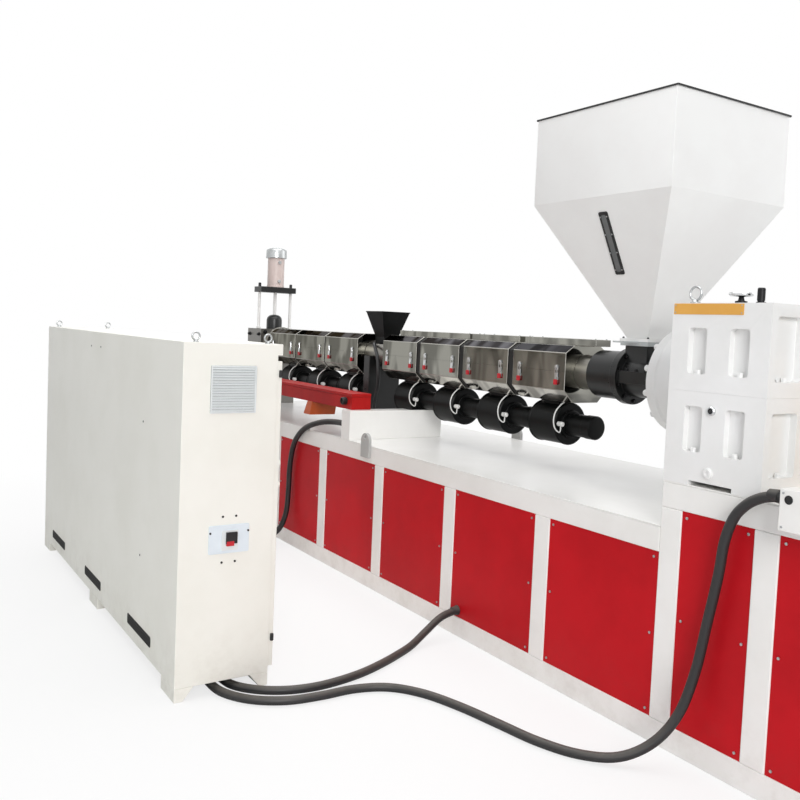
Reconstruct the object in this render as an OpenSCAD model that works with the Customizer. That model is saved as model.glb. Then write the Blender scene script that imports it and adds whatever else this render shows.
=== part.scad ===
// Plastic extruder: a single-screw machine on a welded bed, with its hopper, heater zones,
// blowers, screen changer, gearbox and main motor, and the power cabinet that feeds it.
// Millimetres, +Z up. +X runs along the screw from the die end to the motor end.
// The origin is on the floor, under the screw, at the frame's post beside the hopper.

/* [Bed frame] */
// Width over the two long sides of the frame
bed_w = 1184; // [1120:2:1260]
// Height of the bed's top above the floor
bed_h = 870; // [840:1:900]
// Side of the square frame tube
tube = 100; // [80:1:110]
// Distance from one post to the next
bay_pitch = 734; // [720:1:750]
// Distance between the two posts under the gearbox
gear_bay = 418; // [400:1:440]
// Height of the raised deck under the drive
drive_h = 1053; // [1030:1:1075]
// Thickness of the bed plate and of the raised deck
plate_t = 6; // [4:1:10]
// Thickness of a side panel
panel_t = 3; // [2:0.5:6]
// Depth of a side panel behind the frame's face
panel_inset = 5; // [2:1:12]

/* [Screw line] */
// Height of the screw's axis above the floor
axis_h = 1410; // [1395:1:1425]
// Outer diameter of the barrel
barrel_d = 180; // [160:1:190]
// Diameter of the feed collar
collar_d = 244; // [230:1:260]
// Length of the feed collar
collar_l = 179; // [150:1:200]
// Diameter of the feed throat
throat_d = 200; // [180:1:220]
// Length of the feed throat
throat_l = 323; // [300:1:350]
// Diameter of the thrust bearing housing
housing_d = 484; // [440:1:520]
// Length of the thrust bearing housing
housing_l = 432; // [400:1:460]

/* [Heater zones] */
// Width of a heater cover across the barrel
cover_w = 310; // [290:1:330]
// Height of a cover's upright front face
cover_face_h = 198; // [180:1:210]
// Depth of a cover's lower chamfer
cover_low_cut = 64; // [50:1:70]
// Width of a cover's upper chamfer
cover_top_cut_w = 60; // [40:1:70]
// Height of a cover's upper chamfer
cover_top_cut_h = 40; // [30:1:50]
// Length of a cover before the vent
feed_cover_l = 424; // [400:1:440]
// Gap between two covers before the vent
feed_cover_gap = 47; // [30:1:60]
// Length of a cover after the vent
die_cover_l = 511; // [490:1:530]
// Gap between two covers after the vent
die_cover_gap = 17; // [10:1:30]
// Bare barrel between the feed collar and the first cover
first_gap = 116; // [90:1:140]
// Bare barrel between the last cover and the screen changer
last_gap = 127; // [100:1:150]
// Thickness of a blower's drum
blower_t = 220; // [180:1:230]
// Length of a blower's motor
blower_motor_l = 200; // [160:1:220]

/* [Hopper] */
// Size of the hopper's bin along the screw
bin_l = 869; // [800:1:940]
// Size of the hopper's bin across the screw
bin_w = 781; // [700:1:860]
// Height of the bin's upright walls
bin_h = 424; // [380:1:460]
// Height of the tapered part of the hopper
cone_h = 643; // [580:1:690]
// Side of the hopper's square outlet
outlet = 130; // [120:1:150]
// Thickness of the hopper's sheet
sheet_t = 4; // [2:0.5:6]

/* [Gearbox and motor] */
// Length of the gearbox along the screw
gearbox_l = 432; // [410:1:450]
// Height of the gearbox
gearbox_h = 691; // [660:1:720]
// Length of the main motor's body
motor_l = 860; // [800:1:900]
// Length of the coupling guard
guard_l = 280; // [240:1:320]

/* [Screen changer] */
// Length of the screen changer's body along the screw
changer_l = 300; // [270:1:320]
// Width of the screen changer's body
changer_w = 380; // [360:1:420]
// Height of the screen changer's body
changer_h = 310; // [290:1:330]
// Free length of the tie rods
rod_l = 330; // [300:1:360]
// Diameter of the hydraulic cylinder
ram_d = 150; // [130:1:170]
// Length of the hydraulic cylinder
ram_l = 363; // [320:1:400]
// Diameter of the melt bore in the outlet flange
melt_d = 90; // [80:1:100]
// Bolt circle of the outlet flange
outlet_pcd = 220; // [205:1:230]
// Diameter of the bolt holes in the outlet flange
outlet_hole_d = 18; // [14:0.5:22]

/* [Power cabinet] */
// Length of the cabinet
cab_l = 2835; // [2700:1:2900]
// Depth of the cabinet
cab_w = 440; // [410:1:470]
// Height of the cabinet over its roof
cab_h = 1506; // [1450:1:1560]
// Height of the cabinet's feet
cab_foot_h = 58; // [50:1:70]
// Clear aisle between the cabinet and the bed
aisle = 1096; // [1050:1:1150]

/* [Cables] */
// Diameter of the cables
cable_d = 38; // [32:1:40]

/* [Hidden] */
$fn = 64;
// Room for cuts to run past a face
overrun = 5;
// Running gap between curved faces that seat on each other
seat_gap = 0.3;

// Frame: counts and places
die_bays = 6;
motor_bays = 2;
front_y = -bed_w / 2;
back_y = bed_w / 2;
step_x = bay_pitch - tube / 2;
gear_post_x = bay_pitch + gear_bay;
bed_posts = [for (i = [0:die_bays]) -i * bay_pitch];
drive_posts = concat([bay_pitch], [for (i = [0:motor_bays]) gear_post_x + i * bay_pitch]);
die_end_x = -die_bays * bay_pitch - tube / 2;
drive_end_x = gear_post_x + motor_bays * bay_pitch + tube / 2;
bed_rail_z = bed_h - plate_t - tube;
drive_rail_z = drive_h - plate_t - tube;
side_ys = [front_y, back_y - tube];
all_posts = concat([for (i = [die_bays:-1:0]) bed_posts[i]], drive_posts);
bed_bay_count = die_bays + 1;
post_count = len(all_posts);

// Lifting lugs on the top rails
lug_w = 96;
lug_t = 20;
lug_low = 74;
lug_rise = 76;
lug_hole_d = 30;
lug_hole_drop = 27;
lug_post_shares = [2.2, 5.2];

// Screw line: places from the step in the frame towards the die
housing_x = step_x - housing_l;
throat_x = housing_x - throat_l;
collar_x = throat_x - collar_l;
changer_set_in = 45;
changer_x = die_end_x + changer_set_in;
barrel_end_x = changer_x + changer_l / 2;
flange_t = 40;
flange_d = 300;
neck_w = 140;
neck_rise = 153;
feed_bore_d = 110;
throat_flange_d = 280;
throat_flange_t = 40;
split_w = 24;
split_h = 60;
support_t = 80;
support_w = 260;
support_share = 0.28;
saddle_rise = 70;

// Heater zones: covers 1 to 4 lie before the vent, 5 to 7 after it
feed_zones = 4;
die_zones = 3;
zones = feed_zones + die_zones;
cover_rise = 98;
feed_pitch = feed_cover_l + feed_cover_gap;
die_pitch = die_cover_l + die_cover_gap;
function cover_low_x(i) = i <= feed_zones
    ? collar_x - first_gap - feed_cover_l - (i - 1) * feed_pitch
    : barrel_end_x + last_gap + (zones - i) * die_pitch;
function cover_l(i) = i <= feed_zones ? feed_cover_l : die_cover_l;
function cover_mid_x(i) = cover_low_x(i) + cover_l(i) / 2;
cover_low_z = axis_h + cover_rise - cover_face_h - cover_low_cut;
cover_top_z = axis_h + cover_rise + cover_top_cut_h;
band_inset = 7;
vent_low_x = cover_low_x(feed_zones + 1) + die_cover_l;
vent_high_x = cover_low_x(feed_zones);
vent_set = 26;
vent_x = (vent_low_x + vent_high_x) / 2 - vent_set;

// Terminal covers on top of the heater covers, as shares of the feed zones' length
terminal_w = 106;
terminal_h = 36;
terminal_spans_shares = [[0.03, 0.47], [0.53, 0.73], [0.77, 1.06]];
feed_zones_l = feed_zones * feed_cover_l + (feed_zones - 1) * feed_cover_gap;

// Blowers hang under the covers, as shares of the room between the covers and the bed
blower_drop_share = 0.33;
blower_d_share = 0.612;
blower_motor_share = 0.548;
blower_hub_share = 0.652;
blower_room = cover_low_z - bed_h;
blower_axis_z = cover_low_z - blower_drop_share * blower_room;
blower_d = blower_d_share * blower_room;
blower_motor_d = blower_motor_share * blower_d;
blower_hub_d = blower_hub_share * blower_d;
blower_hub_l = 14;
duct_l = 120;
duct_w = 90;

// Vent funnel
vent_port = 120;
vent_neck_rise = 120;
funnel_w = 230;
funnel_h = 179;

// Hopper and its slide gate
hopper_set = 102;
hopper_x = throat_x + hopper_set;
gate_z = axis_h + neck_rise;
gate_t = 35;
gate_w = 176;
gate_pull_l = 110;
gate_pull_w = 70;
gate_pull_t = 8;
cone_z = gate_z + gate_t;
bin_z = cone_z + cone_h;
rim_w = 3;
rim_t = 5;

// Terminal box across the bed under a blower's motor, and the red cable trunking that rests on it
term_l = 110;
term_w = 712;
term_h_share = 0.495;
term_h = term_h_share * blower_room;
term_clear = 5;
notch_wall = 12;
term_x = cover_mid_x(feed_zones) + blower_t / 2 + blower_hub_l + term_clear + notch_wall;
term_z = bed_h + term_h;
notch_w = 250;
notch_h_share = 0.149;
notch_h = notch_h_share * blower_room;
trunk_w = 145;
trunk_h = 104;
trunk_l = 1990;
trunk_set = 47;
trunk_y = front_y + trunk_set;
trunk_lap = 40;
trunk_x = term_x - term_l + trunk_lap;
trunk_foot_l = 90;
trunk_foot_set = 200;
outlet_box_l = 72;
outlet_box_w = 200;
outlet_box_share = 0.511;
outlet_box_h = outlet_box_share * term_h;
outlet_box_set = 570;
outlet_box_lean = 58;
outlet_box_near_lean = 28;

// Screen changer
changer_rise = 130;
changer_top_z = axis_h + changer_rise;
rod_d = 26;
rod_pitch = 306;
ram_rod_d = 30;
ram_hub_d = 140;
ram_hub_h = 130;
ram_hub_round = 30;
ram_cap_d = 187;
ram_cap_h = 100;
ram_dome_h = 30;
top_plate_l = 160;
top_plate_w = 342;
top_plate_t = 50;
pedestal_w = 300;
outlet_flange_d = 260;
outlet_flange_t = 60;
outlet_bolts = 8;

// Gearbox: pockets cast into its faces, feet and fittings
pocket_w = 83;
pocket_h = 174;
pocket_depth = 28;
pocket_pitch = 184;
pocket_low = 127;
pocket_row_pitch = 296;
end_pocket_w = 150;
end_pocket_h = 232;
end_pocket_pitch = 182;
end_pocket_edge = 38;
end_pocket_low = 70;
end_pocket_row_pitch = 344;
foot_gap_l = 193;
foot_gap_h = 18;
eye_d = 62;
eye_bar_d = 10;
eye_shank_d = 20;
eye_shank_h = 12;
fit_edge = 52;
eye_edge = 61;
breather_d = 28;
breather_h = 56;
breather_x = 347;
wheel_d = 90;
wheel_t = 14;
wheel_stem_d = 18;
wheel_stem_h = 26;
wheel_x = 265;
sight_d = 34;
sight_t = 10;
sight_x = 208;
sight_rise = 290;
drain_d = 40;
drain_rise = 58;

// Main motor, coupling guard and junction box
motor_x = step_x + gearbox_l + guard_l;
shaft_h = axis_h - drive_h;
motor_d_share = 1.625;
cowl_d_share = 1.68;
bell_d_share = 1.345;
guard_w_share = 0.84;
foot_y_share = 0.644;
motor_d = motor_d_share * shaft_h;
cowl_d = cowl_d_share * shaft_h;
bell_d = bell_d_share * shaft_h;
guard_w = guard_w_share * shaft_h;
motor_foot_y = foot_y_share * shaft_h;
cowl_l = 230;
bell_l = 60;
motor_foot_w = 120;
motor_box_l = 300;
motor_box_w = 260;
motor_box_h = 130;
junction_set = 104;
junction_x = gear_post_x + junction_set;
junction_l = 244;
junction_d = 100;
junction_h = 141;
junction_drop = 66;
junction_z = drive_h - junction_drop;

// Power cabinet
cab_back_y = front_y - aisle;
cab_y = cab_back_y - cab_w;
cab_set = 497;
cab_end_x = -cab_set;
cab_x = cab_end_x - cab_l;
door_t = 22;
door_count = 4;
door_gap = 4;
door_edge = 26;
roof_t = 48;
foot_l = 180;
foot_w = 84;
foot_low_w = 38;
grille_w = 200;
grille_t = 8;
grille_y = 118;
grille_z = 1211;
switch_w = 179;
switch_h = 122;
switch_t = 6;
switch_y = 128;
switch_z = 614;
breaker_w = 62;
breaker_h = 86;
breaker_t = 16;
roof_eye_d = 40;
roof_eye_bar_d = 8;
roof_eye_shank_d = 16;
roof_eye_shank_h = 8;
roof_eye_set = 30;
roof_eye_edge = 60;
entry_l = 220;
entry_w = 200;
entry_h = 50;
entry_set = 263;
entry_y = 118;
rear_entry_x = 442;
rear_entry_set = 32;

// Glands where the cables end, and the places where the cables start and end
gland_d = 52;
gland_l = 30;
grommet_l = 13;
junction_gland_rise = 103;
terminal_gland_edge = 52;
terminal_gland_share = 0.455;
grommet_rise = 35;
grommet_share = 0.849;
junction_gland = [junction_x, front_y - junction_d / 2, junction_z + junction_gland_rise];
terminal_gland = [term_x - term_l, front_y + terminal_gland_edge, bed_h + terminal_gland_share * term_h];
panel_grommet = [-grommet_share * bay_pitch, front_y + panel_inset, tube + grommet_rise];
entry_first_y = 60;
entry_next_y = 120;
cable_z = 30;
front_entry = [cab_end_x - entry_set, cab_y + entry_y, cable_z];
rear_entry = [cab_x + rear_entry_x + entry_l / 2, cab_back_y - rear_entry_set, cable_z];
cable_sides = 10;

// Points that each cable's smooth curve runs through
motor_route = [
    [-760, -1950, 30], [-620, -1950, 30], [-480, -1930, 20], [-350, -1850, 20], [-270, -1720, 20],
    [-246, -1570, 20], [-240, -1410, 20], [-185, -1270, 20], [-60, -1170, 20], [120, -1105, 20],
    [320, -1060, 20], [510, -1018, 20], [665, -945, 20], [775, -848, 36], [850, -752, 102],
    [900, -682, 216], [935, -648, 380], [965, -638, 570], [1000, -638, 758], [1018, -640, 886],
    [1051, -641, 980], [1100, -642, 1038], [1161, -642, 1074], [1226, -642, 1090]];
heater_route = [
    [-760, -1890, 30], [-650, -1890, 30], [-530, -1865, 20], [-430, -1790, 20], [-365, -1680, 20],
    [-340, -1550, 20], [-350, -1420, 20], [-380, -1290, 20], [-430, -1160, 20], [-490, -1035, 20],
    [-550, -915, 26], [-598, -800, 62], [-620, -695, 112], [-623, -600, 135]];
control_route = [
    [-2780, -1720, 30], [-2780, -1600, 30], [-2785, -1420, 20], [-2792, -1240, 20], [-2790, -1060, 20],
    [-2772, -895, 22], [-2734, -765, 44], [-2688, -674, 116], [-2664, -632, 240], [-2662, -620, 410],
    [-2656, -618, 580], [-2608, -618, 735], [-2510, -617, 835], [-2390, -610, 898], [-2250, -580, 940],
    [-2110, -545, 955], [-1990, -540, 955]];

// Shapes that many pieces share

// A box between two corners
module block(low, high) {
    translate(low) cube(high - low);
}

// A round bar along X from x0 to x1
module bar_x(x0, x1, d, y = 0, z = axis_h) {
    translate([x0, y, z]) rotate([0, 90, 0]) cylinder(d = d, h = x1 - x0);
}

// A tapered box on z = 0: a rectangle at its foot that grows to another at its top
module taper(foot, top, h) {
    corners = [[-1, -1], [1, -1], [1, 1], [-1, 1]] / 2;
    polyhedron(
        concat([for (c = corners) [c[0] * foot[0], c[1] * foot[1], 0]],
               [for (c = corners) [c[0] * top[0], c[1] * top[1], h]]),
        [[0, 1, 2, 3], [7, 6, 5, 4], [0, 4, 5, 1], [1, 5, 6, 2], [2, 6, 7, 3], [3, 7, 4, 0]]);
}

// An eye bolt that stands on z = 0, its ring in the XZ plane
module eye_bolt(d = eye_d, bar_d = eye_bar_d, shank_d = eye_shank_d, shank_h = eye_shank_h) {
    cylinder(d = shank_d, h = shank_h);
    translate([0, 0, shank_h + (d - bar_d) / 2]) rotate([90, 0, 0])
        rotate_extrude() translate([(d - bar_d) / 2, 0]) circle(d = bar_d);
}

// The cut that lets a piece seat round the barrel
module barrel_room(x0, x1) {
    bar_x(x0 - overrun, x1 + overrun, barrel_d + 2 * seat_gap);
}

// A point between b and c on the smooth curve through a, b, c and d
function curve_point(a, b, c, d, t) =
    0.5 * (2 * b + (c - a) * t + (2 * a - 5 * b + 4 * c - d) * t * t + (3 * b - a - 3 * c + d) * t * t * t);

// The smooth curve through a route's points, cut into a number of steps between two points
function smooth(p, steps) = let (last = len(p) - 1) concat(
    [for (i = [0:last - 1], k = [0:steps - 1])
        curve_point(p[max(i - 1, 0)], p[i], p[i + 1], p[min(i + 2, last)], k / steps)],
    [p[last]]);

// A route moved so that it runs between two places; what lies on the floor stays on it
function led(route, first, last) = let (
        n = len(route) - 1,
        rise = route[n][2],
        shift_0 = first - route[0],
        shift_1 = last - route[n])
    [for (i = [0:n]) let (q = route[i], shift = shift_0 * (1 - i / n) + shift_1 * i / n)
        [q[0] + shift[0], q[1] + shift[1], q[2] + shift_1[2] * q[2] / rise]];

// A tube of the cables' diameter along a route, its last end square to the gland that it runs into
module cable(route, steps, into) {
    p = smooth(route, steps);
    last = len(p) - 1;
    way = concat([route[1] - route[0]], [for (i = [1:last - 1]) p[i + 1] - p[i - 1]], [into]);
    rings = [for (i = [0:last]) let (
            along = way[i] / norm(way[i]),
            guess = abs(along[2]) > 0.9 ? [0, 1, 0] : [0, 0, 1],
            side = cross(along, guess) / norm(cross(along, guess)),
            up = cross(side, along))
        [for (k = [0:cable_sides - 1]) let (turn = 360 * k / cable_sides)
            p[i] + (side * cos(turn) + up * sin(turn)) * cable_d / 2]];
    walls = [for (i = [0:last - 1], k = [0:cable_sides - 1]) let (n = (k + 1) % cable_sides)
        [i * cable_sides + k, (i + 1) * cable_sides + k, (i + 1) * cable_sides + n, i * cable_sides + n]];
    first_end = [for (k = [0:cable_sides - 1]) k];
    last_end = [for (k = [cable_sides - 1:-1:0]) last * cable_sides + k];
    polyhedron([for (ring = rings, q = ring) q], concat([first_end], walls, [last_end]));
}

// Frame

module frame_bottom_rails() color("whitesmoke")
    for (y = side_ys) block([die_end_x, y, 0], [drive_end_x, y + tube, tube]);

module frame_top_rails() color("whitesmoke")
    for (y = side_ys) {
        block([die_end_x, y, bed_rail_z], [step_x, y + tube, bed_rail_z + tube]);
        block([step_x, y, drive_rail_z], [drive_end_x, y + tube, drive_rail_z + tube]);
    }

module frame_posts() color("whitesmoke")
    for (y = side_ys) {
        for (x = bed_posts) block([x - tube / 2, y, tube], [x + tube / 2, y + tube, bed_rail_z]);
        for (x = drive_posts) block([x - tube / 2, y, tube], [x + tube / 2, y + tube, drive_rail_z]);
    }

// Cross members at every post; the one at the step reaches down to the bed
module frame_cross_members() color("whitesmoke") {
    inner_y = back_y - tube;
    for (x = all_posts) block([x - tube / 2, -inner_y, 0], [x + tube / 2, inner_y, tube]);
    for (x = bed_posts)
        block([x - tube / 2, -inner_y, bed_rail_z], [x + tube / 2, inner_y, bed_rail_z + tube]);
    for (x = drive_posts)
        block([x - tube / 2, -inner_y, x == bay_pitch ? bed_rail_z : drive_rail_z],
              [x + tube / 2, inner_y, drive_rail_z + tube]);
}

module bed_plate() color("whitesmoke")
    block([die_end_x, front_y, bed_h - plate_t], [step_x, back_y, bed_h]);

module drive_deck() color("whitesmoke")
    block([step_x, front_y, drive_h - plate_t], [drive_end_x, back_y, drive_h]);

// One panel in each bay of a long side, from y to y + panel_t
module side_panels(y)
    for (i = [0:post_count - 2])
        block([all_posts[i] + tube / 2, y, tube],
              [all_posts[i + 1] - tube / 2, y + panel_t, i < bed_bay_count ? bed_rail_z : drive_rail_z]);

module front_panels() color("crimson") side_panels(front_y + panel_inset);

module back_panels() color("crimson") side_panels(back_y - panel_inset - panel_t);

module end_panels() color("crimson") {
    inner_y = back_y - tube;
    die_x = die_end_x + panel_inset;
    drive_x = drive_end_x - panel_inset - panel_t;
    block([die_x, -inner_y, tube], [die_x + panel_t, inner_y, bed_rail_z]);
    block([drive_x, -inner_y, tube], [drive_x + panel_t, inner_y, drive_rail_z]);
}

// A plate with a round top and an eye, welded to the rail's face
module lug(y)
    translate([0, y + lug_t, bed_h - lug_low]) rotate([90, 0, 0])
        linear_extrude(lug_t) difference() {
            union() {
                translate([-lug_w / 2, 0]) square([lug_w, lug_low + lug_rise - lug_w / 2]);
                translate([0, lug_low + lug_rise - lug_w / 2]) circle(d = lug_w);
            }
            translate([0, lug_low + lug_rise - lug_hole_drop]) circle(d = lug_hole_d);
        }

module lifting_lugs() color("gainsboro")
    for (share = lug_post_shares, y = [front_y - lug_t, back_y])
        translate([-share * bay_pitch, 0, 0]) lug(y);

// Gearbox and drive

module gearbox() color("whitesmoke") {
    rows = [for (i = [0, 1]) drive_h + pocket_low + i * pocket_row_pitch];
    mid_x = step_x + gearbox_l / 2;
    difference() {
        block([step_x, front_y, drive_h], [step_x + gearbox_l, back_y, drive_h + gearbox_h]);
        for (z = rows, s = [-1, 1]) {
            x = mid_x + s * pocket_pitch / 2;
            for (y = [front_y - overrun, back_y - pocket_depth])
                block([x - pocket_w / 2, y, z],
                      [x + pocket_w / 2, y + pocket_depth + overrun, z + pocket_h]);
        }
        for (i = [0, 1], s = [-1, 1], k = [0, 1]) {
            y = s * (back_y - end_pocket_edge - end_pocket_w / 2 - k * end_pocket_pitch);
            z = drive_h + end_pocket_low + i * end_pocket_row_pitch;
            block([step_x + gearbox_l - pocket_depth, y - end_pocket_w / 2, z],
                  [step_x + gearbox_l + overrun, y + end_pocket_w / 2, z + end_pocket_h]);
        }
        block([mid_x - foot_gap_l / 2, front_y - overrun, drive_h - overrun],
              [mid_x + foot_gap_l / 2, back_y + overrun, drive_h + foot_gap_h]);
    }
}

// Eye bolts, valve wheel and breather on the gearbox, sight glass and drain plug on its front
module gearbox_fittings() color("dimgray") {
    top_z = drive_h + gearbox_h;
    for (s = [-1, 1])
        translate([step_x + eye_edge, s * (back_y - fit_edge), top_z]) eye_bolt();
    translate([step_x + breather_x, front_y + fit_edge, top_z]) cylinder(d = breather_d, h = breather_h);
    translate([step_x + wheel_x, front_y + fit_edge, top_z]) {
        cylinder(d = wheel_stem_d, h = wheel_stem_h);
        translate([0, 0, wheel_stem_h]) cylinder(d = wheel_d, h = wheel_t);
    }
    translate([step_x + sight_x, front_y, drive_h + sight_rise]) rotate([90, 0, 0])
        cylinder(d = sight_d, h = sight_t);
    translate([step_x + sight_x, front_y, drive_h + drain_rise]) rotate([90, 0, 0])
        cylinder(d = drain_d, h = sight_t);
}

module coupling_guard() color("orange")
    translate([step_x + gearbox_l, 0, drive_h]) rotate([90, 0, 90]) linear_extrude(guard_l) {
        translate([-guard_w / 2, 0]) square([guard_w, axis_h - drive_h]);
        translate([0, axis_h - drive_h]) circle(d = guard_w);
    }

// Motor body with its end bells, fan cowl, feet and the terminal box on its top
module main_motor() color("lightgray") {
    bar_x(motor_x, motor_x + bell_l, bell_d);
    bar_x(motor_x + bell_l, motor_x + motor_l, motor_d);
    bar_x(motor_x + motor_l, motor_x + motor_l + cowl_l, cowl_d);
    for (s = [-1, 1])
        translate([motor_x + 2 * bell_l, s * motor_foot_y - motor_foot_w / 2, drive_h])
            cube([motor_l - 3 * bell_l, motor_foot_w, axis_h - drive_h]);
    translate([motor_x + (motor_l - motor_box_l) / 2, -motor_box_w / 2, axis_h])
        cube([motor_box_l, motor_box_w, motor_d / 2 + motor_box_h]);
}

module motor_junction_box() color("whitesmoke")
    block([junction_x, front_y - junction_d, junction_z],
          [junction_x + junction_l, front_y, junction_z + junction_h]);

// Screw line

module thrust_housing() color("whitesmoke") bar_x(housing_x, step_x, housing_d);

// Throat with its flange, the bars along its split line, and the square neck that the hopper feeds
module feed_throat() color("#222222")
    difference() {
        union() {
            bar_x(throat_x, housing_x, throat_d);
            bar_x(throat_x, throat_x + throat_flange_t, throat_flange_d);
            block([throat_x, -throat_d / 2 - split_w, axis_h - split_h / 2],
                  [housing_x, throat_d / 2 + split_w, axis_h + split_h / 2]);
            block([hopper_x - neck_w / 2, -neck_w / 2, axis_h], [hopper_x + neck_w / 2, neck_w / 2, gate_z]);
        }
        translate([hopper_x, 0, axis_h]) cylinder(d = feed_bore_d, h = neck_rise + overrun);
    }

module barrel() color("gray") {
    bar_x(collar_x, throat_x, collar_d);
    bar_x(barrel_end_x, collar_x, barrel_d);
    bar_x(barrel_end_x, barrel_end_x + flange_t, flange_d);
}

// Saddle that carries the barrel at the vent
module barrel_support() color("#222222") {
    x = vent_low_x + support_share * (vent_high_x - vent_low_x);
    difference() {
        block([x - support_t / 2, -support_w / 2, bed_h],
              [x + support_t / 2, support_w / 2, axis_h - barrel_d / 2 + saddle_rise]);
        barrel_room(x - support_t / 2, x + support_t / 2);
    }
}

// Section of a heater cover, seen along the screw with the axis at zero
module cover_section() {
    w = cover_w / 2;
    low = cover_rise - cover_face_h;
    polygon([
        [-w, low], [-w + cover_low_cut, low - cover_low_cut], [w - cover_low_cut, low - cover_low_cut],
        [w, low], [w, cover_rise], [w - cover_top_cut_w, cover_rise + cover_top_cut_h],
        [-w + cover_top_cut_w, cover_rise + cover_top_cut_h], [-w, cover_rise]]);
}

module heater_cover(i) color("silver")
    difference() {
        translate([cover_low_x(i), 0, axis_h]) rotate([90, 0, 90]) linear_extrude(cover_l(i)) cover_section();
        barrel_room(cover_low_x(i), cover_low_x(i) + cover_l(i));
    }

// Black insulation round the barrel in the gaps between neighbouring covers, a little smaller than they are
module insulation_bands() color("#222222")
    for (i = [1:zones - 1]) if (i != feed_zones) {
        x0 = cover_low_x(i + 1) + cover_l(i + 1);
        x1 = cover_low_x(i);
        difference() {
            translate([x0, 0, axis_h]) rotate([90, 0, 90])
                linear_extrude(x1 - x0) offset(delta = -band_inset) cover_section();
            barrel_room(x0, x1);
        }
    }

module terminal_covers() color("silver")
    for (span = terminal_spans_shares)
        block([cover_low_x(feed_zones) + span[0] * feed_zones_l, -terminal_w / 2, cover_top_z],
              [cover_low_x(feed_zones) + span[1] * feed_zones_l, terminal_w / 2, cover_top_z + terminal_h]);

// Fan drum with its duct up to the cover and its motor towards the gearbox
module blower(i) color("#222222") {
    x = cover_mid_x(i);
    bar_x(x - blower_t / 2, x + blower_t / 2, blower_d, z = blower_axis_z);
    bar_x(x + blower_t / 2, x + blower_t / 2 + blower_hub_l, blower_hub_d, z = blower_axis_z);
    bar_x(x + blower_t / 2, x + blower_t / 2 + blower_motor_l, blower_motor_d, z = blower_axis_z);
    block([x - duct_l / 2, -duct_w / 2, blower_axis_z], [x + duct_l / 2, duct_w / 2, cover_low_z]);
}

// Port on the barrel with an open funnel on it
module vent_funnel() color("#222222") {
    neck_z = axis_h + vent_neck_rise;
    difference() {
        union() {
            block([vent_x - vent_port / 2, -vent_port / 2, axis_h],
                  [vent_x + vent_port / 2, vent_port / 2, neck_z]);
            translate([vent_x, 0, neck_z])
                taper([vent_port, vent_port], [funnel_w, funnel_w], funnel_h);
        }
        barrel_room(vent_x - vent_port, vent_x + vent_port);
        translate([vent_x, 0, neck_z])
            taper([vent_port, vent_port] - 2 * [sheet_t, sheet_t],
                  [funnel_w, funnel_w] - 2 * [sheet_t, sheet_t], funnel_h);
        translate([vent_x, 0, neck_z + funnel_h])
            linear_extrude(overrun) square(funnel_w - 2 * sheet_t, center = true);
        block([vent_x - vent_port / 2 + sheet_t, -vent_port / 2 + sheet_t, axis_h],
              [vent_x + vent_port / 2 - sheet_t, vent_port / 2 - sheet_t, neck_z + seat_gap]);
    }
}

// Hopper

module hopper_bin() color("white")
    translate([hopper_x, 0, bin_z]) difference() {
        union() {
            linear_extrude(bin_h) square([bin_l, bin_w], center = true);
            translate([0, 0, bin_h - rim_t])
                linear_extrude(rim_t) square([bin_l + 2 * rim_w, bin_w + 2 * rim_w], center = true);
        }
        translate([0, 0, -overrun]) linear_extrude(bin_h + 2 * overrun)
            square([bin_l, bin_w] - 2 * [sheet_t, sheet_t], center = true);
    }

module hopper_cone() color("white")
    translate([hopper_x, 0, cone_z]) difference() {
        taper([outlet, outlet], [bin_l, bin_w], cone_h);
        taper([outlet, outlet] - 2 * [sheet_t, sheet_t], [bin_l, bin_w] - 2 * [sheet_t, sheet_t], cone_h);
        translate([0, 0, -overrun]) linear_extrude(overrun + seat_gap)
            square(outlet - 2 * sheet_t, center = true);
        translate([0, 0, cone_h - seat_gap]) linear_extrude(overrun)
            square([bin_l, bin_w] - 2 * [sheet_t, sheet_t], center = true);
    }

// Plate between the neck and the hopper, with the pull of its slide towards the front
module hopper_gate() color("gray")
    difference() {
        union() {
            block([hopper_x - gate_w / 2, -gate_w / 2, gate_z], [hopper_x + gate_w / 2, gate_w / 2, cone_z]);
            translate([hopper_x, -(gate_w + gate_pull_l) / 2, gate_z + gate_t / 2])
                cube([gate_pull_w, gate_pull_l, gate_pull_t], center = true);
        }
        translate([hopper_x, 0, gate_z - overrun]) cylinder(d = feed_bore_d, h = gate_t + 2 * overrun);
    }

// Wiring on the bed

// Box across the bed, notched where a blower's drum hangs over it
module terminal_box() color("whitesmoke")
    difference() {
        block([term_x - term_l, front_y, bed_h], [term_x, front_y + term_w, term_z]);
        block([term_x - term_l - overrun, -notch_w / 2, term_z - notch_h],
              [term_x - notch_wall, notch_w / 2, term_z + overrun]);
    }

// Red trunking from the terminal box towards the die
module cable_trunking() color("firebrick")
    block([trunk_x - trunk_l, trunk_y, term_z], [trunk_x, trunk_y + trunk_w, term_z + trunk_h]);

// Foot under the trunking's far end
module trunking_foot() color("firebrick") {
    x = trunk_x - trunk_l + trunk_foot_set;
    block([x, trunk_y, bed_h], [x + trunk_foot_l, trunk_y + trunk_w, term_z]);
}

// Box under the trunking where wires leave it, leaning towards the die
module outlet_box() color("darkorange")
    translate([trunk_x - outlet_box_set, trunk_y + outlet_box_w, term_z]) rotate([90, 0, 0])
        linear_extrude(outlet_box_w) polygon([
            [0, 0], [-outlet_box_l, 0], [-outlet_box_l - outlet_box_lean, -outlet_box_h],
            [-outlet_box_near_lean, -outlet_box_h]]);

// Screen changer

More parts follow.
